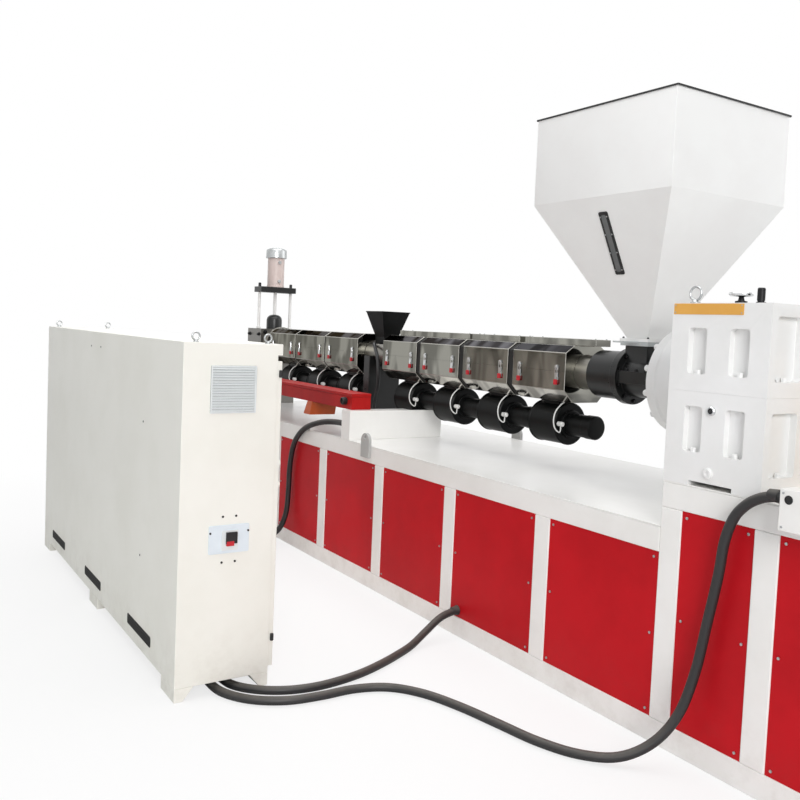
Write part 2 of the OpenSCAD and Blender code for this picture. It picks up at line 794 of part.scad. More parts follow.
// Body on a pedestal, with the outlet flange and its melt bore towards the die
module screen_changer() color("gray") {
    x0 = changer_x - changer_l / 2;
    low_z = changer_top_z - changer_h;
    difference() {
        union() {
            block([x0, -changer_w / 2, low_z], [barrel_end_x, changer_w / 2, changer_top_z]);
            block([die_end_x, -pedestal_w / 2, bed_h], [barrel_end_x, pedestal_w / 2, low_z]);
            bar_x(x0 - outlet_flange_t, x0, outlet_flange_d);
        }
        bar_x(x0 - outlet_flange_t - overrun, x0, melt_d);
        for (k = [0:outlet_bolts - 1]) rotate_about_axis(360 * (k + 0.5) / outlet_bolts)
            bar_x(x0 - outlet_flange_t - overrun, x0, outlet_hole_d, y = outlet_pcd / 2, z = 0);
    }
}

// Turns a piece about the screw's axis
module rotate_about_axis(turn) {
    translate([0, 0, axis_h]) rotate([turn, 0, 0]) children();
}

// A tie rod at each side, and the cylinder's own rod between them in its guide on the body
module changer_rods() color("whitesmoke")
    translate([changer_x, 0, changer_top_z]) {
        for (s = [-1, 1]) translate([0, s * rod_pitch / 2, 0]) cylinder(d = rod_d, h = rod_l);
        cylinder(d = ram_rod_d, h = rod_l);
        cylinder(d = ram_hub_d, h = ram_hub_h - ram_hub_round);
        translate([0, 0, ram_hub_h - ram_hub_round])
            cylinder(d1 = ram_hub_d, d2 = ram_hub_d - 2 * ram_hub_round, h = ram_hub_round);
    }

module changer_plate() color("#222222")
    translate([changer_x, 0, changer_top_z + rod_l]) linear_extrude(top_plate_t)
        square([top_plate_l, top_plate_w], center = true);

module changer_cylinder() color("lightgray")
    translate([changer_x, 0, changer_top_z + rod_l + top_plate_t]) {
        cylinder(d = ram_d, h = ram_l - ram_cap_h);
        translate([0, 0, ram_l - ram_cap_h]) cylinder(d = ram_cap_d, h = ram_cap_h - ram_dome_h);
        translate([0, 0, ram_l - ram_dome_h])
            cylinder(d1 = ram_cap_d, d2 = ram_cap_d - 2 * ram_dome_h, h = ram_dome_h);
    }

// Power cabinet

// Closed body with the cable entries under its floor
module cabinet_body() color("ivory") {
    block([cab_x, cab_y, cab_foot_h], [cab_end_x, cab_back_y - door_t, cab_h - roof_t]);
    block([cab_end_x - entry_set - entry_l, cab_y + entry_y, cab_foot_h - entry_h],
          [cab_end_x - entry_set, cab_y + entry_y + entry_w, cab_foot_h]);
    block([cab_x + rear_entry_x, cab_back_y - rear_entry_set - entry_w, cab_foot_h - entry_h],
          [cab_x + rear_entry_x + entry_l, cab_back_y - rear_entry_set, cab_foot_h]);
}

module cabinet_roof() color("ivory")
    block([cab_x, cab_y, cab_h - roof_t], [cab_end_x, cab_back_y, cab_h]);

// Doors on the side that faces the bed
module cabinet_doors() color("ivory") {
    pitch = (cab_l - door_gap) / door_count;
    for (i = [0:door_count - 1])
        block([cab_x + door_gap + i * pitch, cab_back_y - door_t, cab_foot_h + door_edge],
              [cab_x + (i + 1) * pitch, cab_back_y, cab_h - roof_t - door_edge]);
}

// Feet with an upright outer side, narrower on the floor than at the cabinet
module cabinet_feet() color("ivory")
    for (x = [cab_x, (cab_x + cab_end_x - foot_l) / 2, cab_end_x - foot_l], s = [0, 1])
        translate([x, s == 0 ? cab_y : cab_back_y - door_t, 0]) mirror([0, s, 0])
            rotate([90, 0, 90]) linear_extrude(foot_l)
                polygon([[0, 0], [foot_low_w, 0], [foot_w, cab_foot_h], [0, cab_foot_h]]);

module cabinet_grille() color("lightgray")
    block([cab_end_x, cab_y + grille_y, grille_z],
          [cab_end_x + grille_t, cab_y + grille_y + grille_w, grille_z + grille_w]);

module cabinet_switch() color("aliceblue") {
    block([cab_end_x, cab_y + switch_y, switch_z],
          [cab_end_x + switch_t, cab_y + switch_y + switch_w, switch_z + switch_h]);
    translate([cab_end_x + switch_t + breaker_t / 2, cab_y + switch_y + switch_w / 2, switch_z + switch_h / 2])
        cube([breaker_t, breaker_w, breaker_h], center = true);
}

// Eye bolts on the roof, their rings across the cabinet
module cabinet_eye_bolts() color("silver")
    for (x = [cab_x + roof_eye_set, cab_end_x - roof_eye_set])
        for (y = [cab_y + roof_eye_edge, cab_back_y - roof_eye_edge])
            translate([x, y, cab_h]) rotate([0, 0, 90])
                eye_bolt(roof_eye_d, roof_eye_bar_d, roof_eye_shank_d, roof_eye_shank_h);

// Cables

// Glands on the junction box and the terminal box, and the grommet in a front panel
module cable_glands() color("#222222") {
    for (g = [junction_gland, terminal_gland]) bar_x(g[0] - gland_l, g[0], gland_d, y = g[1], z = g[2]);
    translate(panel_grommet) rotate([90, 0, 0]) cylinder(d = gland_d, h = grommet_l);
}

module motor_cable() color("#222222")
    cable(led(motor_route, front_entry + [0, entry_first_y, 0], junction_gland - [gland_l, 0, 0]),
          2, [1, 0, 0]);

module heater_cable() color("#222222")
    cable(led(heater_route, front_entry + [0, entry_next_y, 0], panel_grommet - [0, grommet_l, 0]),
          1, [0, 1, 0]);

module control_cable() color("#222222")
    cable(led(control_route, rear_entry, terminal_gland - [gland_l, 0, 0]), 2, [1, 0, 0]);

frame_bottom_rails();
frame_top_rails();
frame_posts();
frame_cross_members();
bed_plate();
drive_deck();
front_panels();
back_panels();
end_panels();
lifting_lugs();
gearbox();
gearbox_fittings();
thrust_housing();
feed_throat();
barrel();
barrel_support();
insulation_bands();
terminal_covers();
vent_funnel();
hopper_bin();
hopper_cone();
hopper_gate();
terminal_box();
cable_trunking();
trunking_foot();
outlet_box();
screen_changer();
changer_rods();
changer_plate();
changer_cylinder();
main_motor();
coupling_guard();
motor_junction_box();
cable_glands();
cabinet_body();
cabinet_roof();
cabinet_doors();
cabinet_feet();
cabinet_grille();
cabinet_switch();
cabinet_eye_bolts();
motor_cable();
heater_cable();
control_cable();
for (i = [1:zones]) heater_cover(i);
for (i = [1:zones]) blower(i);
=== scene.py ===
# %% [markdown]
# # A plastic extruder and its power cabinet
# This machine melts plastic pellets and pushes them out as a strand or a sheet. The solids come from
# a CAD model, which already has every piece at its real size. Blender adds what a solid can't show:
# rounded edges, screws and latches, paint, polished sheet, cast iron and rubber.

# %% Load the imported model
import math

import bmesh
import bpy
from mathutils import Matrix, Vector


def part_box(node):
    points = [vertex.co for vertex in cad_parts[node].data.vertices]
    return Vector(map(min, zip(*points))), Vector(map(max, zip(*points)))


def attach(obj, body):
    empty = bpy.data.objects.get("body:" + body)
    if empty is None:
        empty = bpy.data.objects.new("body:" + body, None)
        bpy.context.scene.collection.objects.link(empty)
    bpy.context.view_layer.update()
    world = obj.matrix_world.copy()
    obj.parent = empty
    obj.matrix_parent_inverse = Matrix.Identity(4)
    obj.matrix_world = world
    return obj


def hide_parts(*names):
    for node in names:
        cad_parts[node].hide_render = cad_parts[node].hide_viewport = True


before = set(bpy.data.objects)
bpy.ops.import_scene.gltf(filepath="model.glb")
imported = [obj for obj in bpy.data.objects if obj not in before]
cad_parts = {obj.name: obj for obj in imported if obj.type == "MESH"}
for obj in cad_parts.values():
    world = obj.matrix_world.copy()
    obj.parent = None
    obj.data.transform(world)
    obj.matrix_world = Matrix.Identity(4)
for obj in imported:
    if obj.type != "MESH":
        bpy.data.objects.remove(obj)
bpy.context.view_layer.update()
MM = 0.001
X, Y, Z = Vector((1, 0, 0)), Vector((0, 1, 0)), Vector((0, 0, 1))

# %% [markdown]
# ## The camera
# A photograph's straight edges give away where it was taken from. Here the camera stands at eye
# height beside the gearbox and looks along the machine towards the die. Three angles and a place
# say that as plainly as possible, and the lens comes from the same edges.

# %% Camera at the photograph's angle
EYE = Vector((2.940, -3.261, 1.600))
YAW = math.radians(-56.56)
PITCH = math.radians(3.30)
ROLL = math.radians(-2.53)

ahead = Vector((math.sin(YAW) * math.cos(PITCH), math.cos(YAW) * math.cos(PITCH), -math.sin(PITCH)))
level_right = Vector((math.cos(YAW), -math.sin(YAW), 0))
level_down = ahead.cross(level_right)
right = math.cos(ROLL) * level_right + math.sin(ROLL) * level_down
down = math.cos(ROLL) * level_down - math.sin(ROLL) * level_right

lens = bpy.data.cameras.new("camera")
lens.lens = 38.754
lens.sensor_width = 36
lens.shift_x = -0.0205
lens.shift_y = -0.0271
camera = bpy.data.objects.new("camera", lens)
bpy.context.scene.collection.objects.link(camera)
camera.matrix_world = Matrix.Translation(EYE) @ Matrix((right, -down, -ahead)).transposed().to_4x4()
bpy.context.scene.camera = camera
print("camera at", tuple(EYE), "lens", lens.lens)

# %% [markdown]
# ## Colours and shader nodes
# Colours are written as sRGB hex values, as a paint chart gives them, and shaders want linear light,
# so one function turns the first into the second. A second one adds a node with its settings and
# links, for shader trees and Geometry Nodes alike. Two more start a material and dress its shader.

# %% Helpers for nodes
def linear(hex_colour):
    """An sRGB hex colour as linear RGBA."""
    parts = [int(hex_colour[i:i + 2], 16) / 255 for i in (1, 3, 5)]
    return [p / 12.92 if p <= 0.04045 else ((p + 0.055) / 1.055) ** 2.4 for p in parts] + [1.0]


def add(nodes, kind, values=None, links=None, **attributes):
    """Adds a node, sets its attributes and input values, and links sockets into its inputs."""
    made = nodes.new(kind)
    for key, value in attributes.items():
        setattr(made, key, value)
    for key, value in (values or {}).items():
        made.inputs[key].default_value = value
    for key, socket in (links or {}).items():
        nodes.id_data.links.new(socket, made.inputs[key])
    return made


def new_material(name, values):
    """A material with a Principled shader of some values: its nodes, shader and Object coordinates."""
    material = bpy.data.materials.new(name)
    material.use_nodes = True
    nodes = material.node_tree.nodes
    nodes.clear()
    shader = add(nodes, "ShaderNodeBsdfPrincipled", values)
    add(nodes, "ShaderNodeOutputMaterial", links={"Surface": shader.outputs["BSDF"]})
    place = add(nodes, "ShaderNodeTexCoord").outputs["Object"]
    return material, nodes, shader, place


def dress(shader, tone, rough, bump=None):
    """Links a colour, a roughness and, where there is one, a relief into a shader."""
    links = shader.id_data.links
    links.new(tone.outputs["Color"], shader.inputs["Base Color"])
    links.new(rough.outputs["Result"], shader.inputs["Roughness"])
    if bump:
        links.new(bump.outputs["Normal"], shader.inputs["Normal"])


# %% [markdown]
# ## Paint
# Most of the machine is painted steel. Paint is never one flat colour: it is a little thicker here
# and thinner there, its surface has the fine dimples that painters call orange peel, and soil gathers
# near the floor. One recipe holds these, and each finish sets its own colours, gloss and dimple size.

# %% Paint recipe
SOIL_HEIGHT = 0.35
SOIL_SHARE = 0.3
PATCH_MM = 454.5
SMEAR_MM = 111.1


def painted(name, colour, shade, soil, gloss, dimple_mm, dimple_depth_mm=0.15, coat=0.0, shine=0.5):
    """Paint on metal: two tones of a colour, soil near the floor, a rough-gloss range and dimples."""
    material, nodes, shader, place = new_material(
        name, {"IOR": 1.5, "Coat Weight": coat, "Specular IOR Level": shine})
    cloud = add(nodes, "ShaderNodeTexNoise", {"Scale": 1 / (PATCH_MM * MM), "Detail": 6, "Roughness": 0.6},
                {"Vector": place})
    thickness = add(nodes, "ShaderNodeMapRange", {"From Min": 0.35, "From Max": 0.6},
                    {"Value": cloud.outputs["Fac"]})
    tone = add(nodes, "ShaderNodeMixRGB", {"Color1": linear(shade), "Color2": linear(colour)},
               {"Fac": thickness.outputs["Result"]})
    height = add(nodes, "ShaderNodeSeparateXYZ", links={"Vector": place})
    near_floor = add(nodes, "ShaderNodeMapRange",
                     {"From Min": SOIL_HEIGHT, "From Max": 0.0, "To Max": SOIL_SHARE},
                     {"Value": height.outputs["Z"]})
    smear = add(nodes, "ShaderNodeTexNoise", {"Scale": 1 / (SMEAR_MM * MM), "Detail": 8, "Roughness": 0.7},
                {"Vector": place})
    patch = add(nodes, "ShaderNodeMapRange", {"From Min": 0.45, "From Max": 0.75},
                {"Value": smear.outputs["Fac"]})
    soiled = add(nodes, "ShaderNodeMath",
                 links={0: near_floor.outputs["Result"], 1: patch.outputs["Result"]}, operation="MULTIPLY")
    mixed = add(nodes, "ShaderNodeMixRGB", {"Color2": linear(soil)},
                {"Fac": soiled.outputs["Value"], "Color1": tone.outputs["Color"]})
    rough = add(nodes, "ShaderNodeMapRange", {"To Min": gloss[0], "To Max": gloss[1]},
                {"Value": smear.outputs["Fac"]})
    dimples = add(nodes, "ShaderNodeTexNoise", {"Scale": 1 / (dimple_mm * MM), "Detail": 2},
                  {"Vector": place})
    bump = add(nodes, "ShaderNodeBump", {"Strength": 0.5, "Distance": dimple_depth_mm * MM},
               {"Height": dimples.outputs["Fac"]})
    dress(shader, mixed, rough, bump)
    return material


# %% Paints of this machine
# Sprayed white enamel on the welded frame: glossy, with a warm cast where it is thin
frame_enamel = painted("white_frame_enamel", "#efeeeb", "#e8e7e3", "#a39a8b", (0.22, 0.42), 9, coat=0.15)
# White enamel on cast iron: the casting's grain lifts the paint into coarser dimples
casting_enamel = painted("white_casting_enamel", "#ededec", "#e6e6e4", "#a39a8b", (0.28, 0.48), 6, 0.5)
# White powder coat on the hopper's sheet, the palest surface of the machine
hopper_coat = painted("white_hopper_powder_coat", "#f0f0ee", "#ecebe9", "#b5aea2", (0.30, 0.46), 5)
# Red powder coat on the side panels and the trunking
panel_coat = painted("red_panel_powder_coat", "#c01620", "#b0131c", "#6d3a33", (0.3, 0.48), 5, shine=0.1)
trunking_coat = painted("red_trunking_powder_coat", "#ac1f1e", "#98191a", "#6d3a33", (0.34, 0.52), 5,
                        shine=0.1)
# Orange powder coat on the outlet box, scuffed to a browner orange
outlet_coat = painted("orange_outlet_powder_coat", "#c65a22", "#a8491d", "#6d4a33", (0.35, 0.55), 5)
# Warm white structure coat on the cabinet: its fine leather grain breaks up the gloss
cabinet_coat = painted("cream_cabinet_structure_coat", "#eae9e1", "#e5e4db", "#a9a293", (0.42, 0.6), 3.5,
                       0.3)
# Black gloss enamel on the throat, the barrel's collar and its support
black_enamel = painted("black_gloss_enamel", "#161717", "#0e0f0f", "#4a463f", (0.2, 0.4), 8, 0.2, shine=0.4)
# A duller black on the blowers and the funnel
blower_enamel = painted("black_blower_enamel", "#101111", "#0a0b0b", "#4a463f", (0.25, 0.45), 8, 0.2,
                        shine=0.12)
# Grey enamel on the frame's lifting lugs, and a cooler one on the cast motor and the hopper's gate
lug_enamel = painted("grey_lug_enamel", "#b4b4b2", "#a8a8a6", "#7d7a74", (0.35, 0.55), 6)
motor_enamel = painted("grey_motor_enamel", "#b9bdbd", "#a8acac", "#6e6a62", (0.32, 0.5), 6, 0.5)
# Safety yellow on the coupling guard
guard_enamel = painted("yellow_guard_enamel", "#d99a1c", "#c98a14", "#7d6330", (0.3, 0.5), 7)
# Pale pinkish primer on the changer's cylinder
ram_enamel = painted("pale_cylinder_enamel", "#d8c8c2", "#c9b8b1", "#8d8078", (0.3, 0.5), 6)
print(len(bpy.data.materials), "paints and CAD materials")

# %% [markdown]
# ## Bare and polished metal
# The heater covers are folded from mirror-polished stainless sheet. Sheet is never quite flat, so its
# reflections wander: a broad soft bump does that. A slow change of tone stands partly for the smudges of
# handling and partly for painted reflections of large forms, and the colour is a painted reflection too:
# pale where a face looks down or up, darker on the slopes. The barrel was turned on a lathe and then
# heated for years, which leaves fine rings and a faint brown tint. Screws are zinc plated.

# %% Metals
SMUDGE_AND_REFLECTION_MM = 500
WAVE_MM = 142.9
SCRATCH_MM = 83.33
# A Wave texture of scale 1 has a ring every 0.314 m
RING_AT_SCALE_1 = 0.314


def polished_stainless():
    """Mirror-polished sheet with a painted reflection: its colour is pale below and on top, darker between.
    """
    material, nodes, shader, place = new_material(
        "polished_stainless_sheet", {"Metallic": 1.0, "Specular Tint": linear("#8f8d88")})
    facing = add(nodes, "ShaderNodeSeparateXYZ", links={"Vector": place.node.outputs["Normal"]})
    share = add(nodes, "ShaderNodeMapRange", {"From Min": -1.0, "From Max": 1.0},
                {"Value": facing.outputs["Z"]})
    # Painted reflection: the colour follows which way each face points, pale where it faces down or up and
    # darker on the slopes between
    tone = add(nodes, "ShaderNodeValToRGB", links={"Fac": share.outputs["Result"]})
    painted_reflection_stops = tone.color_ramp.elements
    painted_reflection_stops[0].position = 0.25
    painted_reflection_stops[0].color = linear("#f0ede7")
    painted_reflection_stops[1].color = linear("#c6c5c2")
    for position, colour in ((0.5, "#908f88"), (0.64, "#74757a"), (0.975, "#6b6b6f")):
        painted_reflection_stops.new(position).color = linear(colour)
    # The slow stretched smudges are partly smudges of handling and partly painted reflections of large
    # forms nearby
    bands = add(nodes, "ShaderNodeMapping", {"Scale": (4.5, 1.5, 1.5)}, {"Vector": place})
    smudges_and_reflections = add(nodes, "ShaderNodeTexNoise",
                 {"Scale": 1 / (SMUDGE_AND_REFLECTION_MM * MM), "Detail": 1, "Distortion": 0.8},
                 {"Vector": bands.outputs["Vector"]})
    smear = add(nodes, "ShaderNodeMapRange",
                {"From Min": 0.4, "From Max": 0.6, "To Min": 0.6, "To Max": 1.15},
                {"Value": smudges_and_reflections.outputs["Fac"]})
    painted_reflection_colour = add(nodes, "ShaderNodeMixRGB", {"Fac": 1.0},
                {"Color1": tone.outputs["Color"], "Color2": smear.outputs["Result"]}, blend_type="MULTIPLY")
    rough = add(nodes, "ShaderNodeMapRange", {"To Min": 0.03, "To Max": 0.1},
                {"Value": smudges_and_reflections.outputs["Fac"]})
    waves = add(nodes, "ShaderNodeTexNoise", {"Scale": 1 / (WAVE_MM * MM), "Detail": 1}, {"Vector": place})
    wavy = add(nodes, "ShaderNodeBump", {"Strength": 0.35, "Distance": 4 * MM},
               {"Height": waves.outputs["Fac"]})
    along = add(nodes, "ShaderNodeMapping", {"Scale": (4, 60, 60)}, {"Vector": place})
    scratches = add(nodes, "ShaderNodeTexNoise", {"Scale": 1 / (SCRATCH_MM * MM), "Detail": 3},
                    {"Vector": along.outputs["Vector"]})
    bump = add(nodes, "ShaderNodeBump", {"Strength": 0.08, "Distance": 0.2 * MM},
               {"Height": scratches.outputs["Fac"], "Normal": wavy.outputs["Normal"]})
    dress(shader, painted_reflection_colour, rough, bump)
    return material


def cloudy(name, values, dark, pale, gloss, cloud_mm, detail):
    """A material whose two tones and gloss follow the same clouds, with its nodes and coordinates."""
    material, nodes, shader, place = new_material(name, values)
    cloud = add(nodes, "ShaderNodeTexNoise", {"Scale": 1 / (cloud_mm * MM), "Detail": detail},
                {"Vector": place})
    tone = add(nodes, "ShaderNodeMixRGB", {"Color1": linear(dark), "Color2": linear(pale)},
               {"Fac": cloud.outputs["Fac"]})
    rough = add(nodes, "ShaderNodeMapRange", {"To Min": gloss[0], "To Max": gloss[1]},
                {"Value": cloud.outputs["Fac"]})
    dress(shader, tone, rough)
    return material, nodes, shader, place


def turned_steel(name, pale, dark, ring_mm):
    """Steel turned on a lathe about X: fine rings, and a tint that changes slowly along the bar."""
    material, nodes, shader, place = cloudy(name, {"Metallic": 1.0}, dark, pale, (0.25, 0.5), 250, 6)
    rings = add(nodes, "ShaderNodeTexWave", {"Scale": RING_AT_SCALE_1 / (ring_mm * MM), "Distortion": 0.6},
                {"Vector": place}, bands_direction="X")
    bump = add(nodes, "ShaderNodeBump", {"Strength": 0.25, "Distance": 0.3 * MM},
               {"Height": rings.outputs["Fac"]})
    nodes.id_data.links.new(bump.outputs["Normal"], shader.inputs["Normal"])
    return material


def plated_steel(name, pale, dark, gloss):
    """Plated steel: a slightly cloudy metal with small changes in gloss."""
    return cloudy(name, {"Metallic": 1.0}, dark, pale, gloss, 16.67, 4)[0]


stainless = polished_stainless()
# Turned steel of the barrel: a dull sheen. Its rings are too fine to show, so they are drawn 18 mm apart
barrel_steel = turned_steel("turned_barrel_steel", "#a19f99", "#7b7872", 18)
# Machined steel of the changer: darker, as it stays oily, with cutting marks drawn 12 mm apart
changer_steel = turned_steel("machined_changer_steel", "#8d8b87", "#6a6864", 12)
# Stainless sheet where it is folded: a paler steel on the rounded folds, a painted highlight line
fold_painted_highlight = plated_steel("bright_sheet_folds", "#b4b2ac", "#989690", (0.3, 0.4))
# Zinc plating on screws and lifting eyes: pale and a little cloudy
zinc = plated_steel("zinc_plated_steel", "#c4c6c6", "#9fa2a3", (0.22, 0.4))
# Chromium plating on latches and the hand wheel: a bright mirror
chrome = plated_steel("chromed_steel", "#d9dadb", "#c3c5c6", (0.06, 0.14))
# Steel bolts blackened in oil: almost black, with a dull shine
blackened = plated_steel("blackened_bolt_steel", "#3a3a3b", "#232324", (0.35, 0.5))
print(len(bpy.data.materials), "materials so far")

# %% [markdown]
# ## Plastics and rubber
# Moulded plastic has a fine even grain and a dull gloss. The cables' rubber sheath is almost black,
# and the floor's dust stays on the side that looks up, so the dust reads the surface's own normal.

# %% Plastics
DUST_MM = 71.43


def moulded(name, colour, shade, gloss, grain_mm=1.5):
    """Moulded plastic: an even colour, dull gloss and a fine spark-eroded grain."""
    material, nodes, shader, place = cloudy(name, {"IOR": 1.46}, shade, colour, gloss, 40, 3)
    grain = add(nodes, "ShaderNodeTexNoise", {"Scale": 1 / (grain_mm * MM), "Detail": 1}, {"Vector": place})
    bump = add(nodes, "ShaderNodeBump", {"Strength": 0.3, "Distance": 0.1 * MM},
               {"Height": grain.outputs["Fac"]})
    nodes.id_data.links.new(bump.outputs["Normal"], shader.inputs["Normal"])
    return material


def cable_sheath():
    """Rubber cable sheath: near black, with pale floor dust on what looks up."""
    material, nodes, shader, place = new_material("black_cable_rubber", {"IOR": 1.52})
    facing = add(nodes, "ShaderNodeSeparateXYZ", links={"Vector": place.node.outputs["Normal"]})
    dust = add(nodes, "ShaderNodeTexNoise", {"Scale": 1 / (DUST_MM * MM), "Detail": 7, "Roughness": 0.65},
               {"Vector": place})
    upward = add(nodes, "ShaderNodeMapRange", {"From Min": 0.2, "From Max": 1.0, "To Max": 0.5},
                 {"Value": facing.outputs["Z"]})
    settled = add(nodes, "ShaderNodeMath", links={0: upward.outputs["Result"], 1: dust.outputs["Fac"]},
                  operation="MULTIPLY")
    tone = add(nodes, "ShaderNodeMixRGB", {"Color1": linear("#1b1b1c"), "Color2": linear("#8b857b")},
               {"Fac": settled.outputs["Value"]})
    rough = add(nodes, "ShaderNodeMapRange", {"To Min": 0.38, "To Max": 0.62},
                {"Value": dust.outputs["Fac"]})
    dress(shader, tone, rough)
    return material


rubber = cable_sheath()
# Nylon with a dull gloss: black on plugs, hinges and handles, white on the blowers' leads
black_nylon = moulded("black_moulded_nylon", "#1c1c1d", "#141415", (0.4, 0.55))
white_nylon = moulded("white_moulded_nylon", "#e8e8e6", "#dcdcd9", (0.35, 0.5))
# ABS of the filter grille, the breaker's plate and the red grips: an even colour and a soft shine
grille_plastic = moulded("grey_grille_plastic", "#dfe3e3", "#d5dada", (0.4, 0.55))
switch_plastic = moulded("pale_switch_plate", "#dfe7ec", "#d2dce3", (0.3, 0.45))
red_plastic = moulded("red_handle_plastic", "#c3202b", "#ad1a25", (0.3, 0.45))
# Sight glasses: glossy, one clouded by pellets and one dark with the oil behind it
clouded_glass = moulded("clouded_sight_glass", "#6d7070", "#5c5f60", (0.08, 0.16), 20)
dark_glass = moulded("smoked_sight_glass", "#23262a", "#15171a", (0.05, 0.12), 20)
# Yellow lacquer of the blank plate on the gearbox
plate_yellow = painted("yellow_plate_lacquer", "#e8b155", "#dba146", "#8d7444", (0.25, 0.4), 6)
# Glass cloth of the insulation bands: black and quite dull. It is also painted shade: the plates and slats
# in the cabinet's air slots and the plate behind the grille's slats are dark for the shade inside
insulation_and_slot_shade = moulded("black_insulation_cloth", "#1a1918", "#0f0f0e", (0.7, 0.9), 3)
print(len(bpy.data.materials), "materials")

# %% [markdown]
# ## Turning shapes into pieces
# Every piece of the scene ends the same way: its modifiers are worked out into a plain mesh, it gets
# its material, and it rides on the machine's one body. The Bevel modifier rounds the edges, because a
# real edge always catches a line of light, and its hardened normals keep the flat faces flat.

# %% Finish a piece
def finished(obj, replaces=()):
    """Bakes an object's modifiers into its mesh and lets it ride on the machine."""
    if obj.name not in bpy.context.scene.collection.objects:
        bpy.context.scene.collection.objects.link(obj)
    bpy.context.view_layer.update()
    baked = bpy.data.meshes.new_from_object(obj.evaluated_get(bpy.context.evaluated_depsgraph_get()))
    obj.modifiers.clear()
    obj.data = baked
    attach(obj, "root")
    if replaces:
        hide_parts(*replaces)
    print(obj.name, "has", len(baked.polygons), "faces")
    return obj


SHARP_DEGREES = 30


def rounded(obj, width_mm, segments, limit, edge_index):
    """Adds a Bevel modifier that rounds the sharp edges, or those with a weight."""
    bevel = obj.modifiers.new("rounded_edges", "BEVEL")
    bevel.width = width_mm * MM
    bevel.segments = segments
    bevel.limit_method = limit
    bevel.angle_limit = math.radians(SHARP_DEGREES)
    bevel.harden_normals = True
    bevel.material = edge_index


def keep_seams_sharp(bm, heights):
    """Marks the edges to round: all that are sharp, but none that lies at a seam."""
    weight = bm.edges.layers.float.new("bevel_weight_edge")
    for edge in bm.edges:
        at_seam = any(all(abs(v.co.z - z) < 1e-5 for v in edge.verts) for z in heights)
        edge[weight] = 0 if at_seam else float(edge.calc_face_angle(0) > math.radians(SHARP_DEGREES))


def piece(name, bm, materials, edge_mm=0, segments=2, replaces=(), seams=(), edge_index=-1):
    """Makes a piece from a bmesh, with rounded edges where a width is given, except at seams' heights.

    The rounded edges keep the material of the faces beside them unless an index names another one.
    """
    bmesh.ops.remove_doubles(bm, verts=bm.verts, dist=1e-6)
    bmesh.ops.recalc_face_normals(bm, faces=bm.faces)
    if seams:
        keep_seams_sharp(bm, seams)
    mesh = bpy.data.meshes.new(name)
    bm.to_mesh(mesh)
    bm.free()
    mesh.polygons.foreach_set("use_smooth", [True] * len(mesh.polygons))
    mesh.set_sharp_from_angle(angle=math.radians(SHARP_DEGREES))
    for material in materials:
        mesh.materials.append(material)
    obj = bpy.data.objects.new(name, mesh)
    if edge_mm:
        rounded(obj, edge_mm, segments, "WEIGHT" if seams else "ANGLE", edge_index)
    return finished(obj, replaces)


# %% [markdown]
# ## Softening a CAD solid
# A CAD node arrives as loose triangles. A copy has its doubles merged and its flat triangles joined
# again, so that only true edges are left, and then these edges are rounded. This keeps every size,
# and the piece stands for its node.

# %% Copy a CAD node and round its edges
def solid_mesh(node):
    """A bmesh of a CAD node with merged corners and whole flat faces."""
    bm = bmesh.new()
    bm.from_mesh(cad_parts[node].data)
    bmesh.ops.remove_doubles(bm, verts=bm.verts, dist=2e-5)
    bmesh.ops.dissolve_limit(bm, angle_limit=math.radians(0.5), verts=bm.verts, edges=bm.edges)
    return bm


def softened(node, material, edge_mm, segments=2, seams=(), split_rims=False):
    """A copy of a CAD node with rounded edges, except at seams' heights, which stands for the node.

    A narrow rim that bends back on itself is split into straight lengths where split_rims is set.
    """
    bm = solid_mesh(node)
    if split_rims:
        bmesh.ops.connect_verts_concave(bm, faces=bm.faces)
    return piece(node + "_finish", bm, [material], edge_mm, segments, [node], seams=seams)


def solids(node):
    """The lowest and highest corners of each separate solid in a CAD node, from -X to +X."""
    bm = solid_mesh(node)
    left = set(bm.verts)
    boxes = []
    while left:
        group = [left.pop()]
        for vert in group:
            for edge in vert.link_edges:
                other = edge.other_vert(vert)
                if other in left:
                    left.remove(other)
                    group.append(other)
        corners = [[v.co[i] for v in group] for i in range(3)]
        boxes.append((Vector([min(c) for c in corners]), Vector([max(c) for c in corners])))
    bm.free()
    return sorted(boxes, key=lambda b: (round(b[0].x, 3), round(b[0].y, 3), round(b[0].z, 3)))


# %% [markdown]
# ## Basic forms
# Five small functions put forms into a bmesh: a box, a turned form about any axis, a plate cut to an
# outline, a tube along points and a ring of round bar. A turned form is drawn as a lathe hand reads
# it: distance along the axis and radius there.

# %% Forms for bmesh
def put_box(bm, low, high, index=0):
    """Adds a box between two corners."""
    low, high = Vector(low), Vector(high)
    made = bmesh.ops.create_cube(bm, size=1, matrix=Matrix.Translation((low + high) / 2)
                                 @ Matrix.Diagonal((*(high - low), 1)))
    for face in {f for v in made["verts"] for f in v.link_faces}:
        face.material_index = index


def across(axis):
    """Two directions square to an axis and to each other."""
    side = axis.cross(Z if abs(axis.z) < 0.9 else X).normalized()
    return side, axis.cross(side)


def spoke(u, v, degrees):
    """The direction at an angle from u towards v."""
    turn = math.radians(degrees)
    return u * math.cos(turn) + v * math.sin(turn)


def circle(centre, u, v, radius, count, start=0):
    """Points on a circle in the directions u and v, from a start in degrees."""
    return [centre + spoke(u, v, start + 360 * k / count) * radius for k in range(count)]


def put_turned(bm, profile_mm, origin, axis, sides=40, index=0):
    """Adds a form turned about an axis through origin, from (distance along, radius) pairs in mm."""
    side, up = across(axis)
    rings = []
    for along, radius in profile_mm:
        centre = origin + axis * along * MM
        if radius == 0:
            rings.append([bm.verts.new(centre)] * sides)
        else:
            rings.append([bm.verts.new(point) for point in circle(centre, side, up, radius * MM, sides)])
    for near, far in zip(rings, rings[1:]):
        for k in range(sides):
            n = (k + 1) % sides
            corners = list(dict.fromkeys((near[k], near[n], far[n], far[k])))
            if len(corners) > 2:
                bm.faces.new(corners).material_index = index


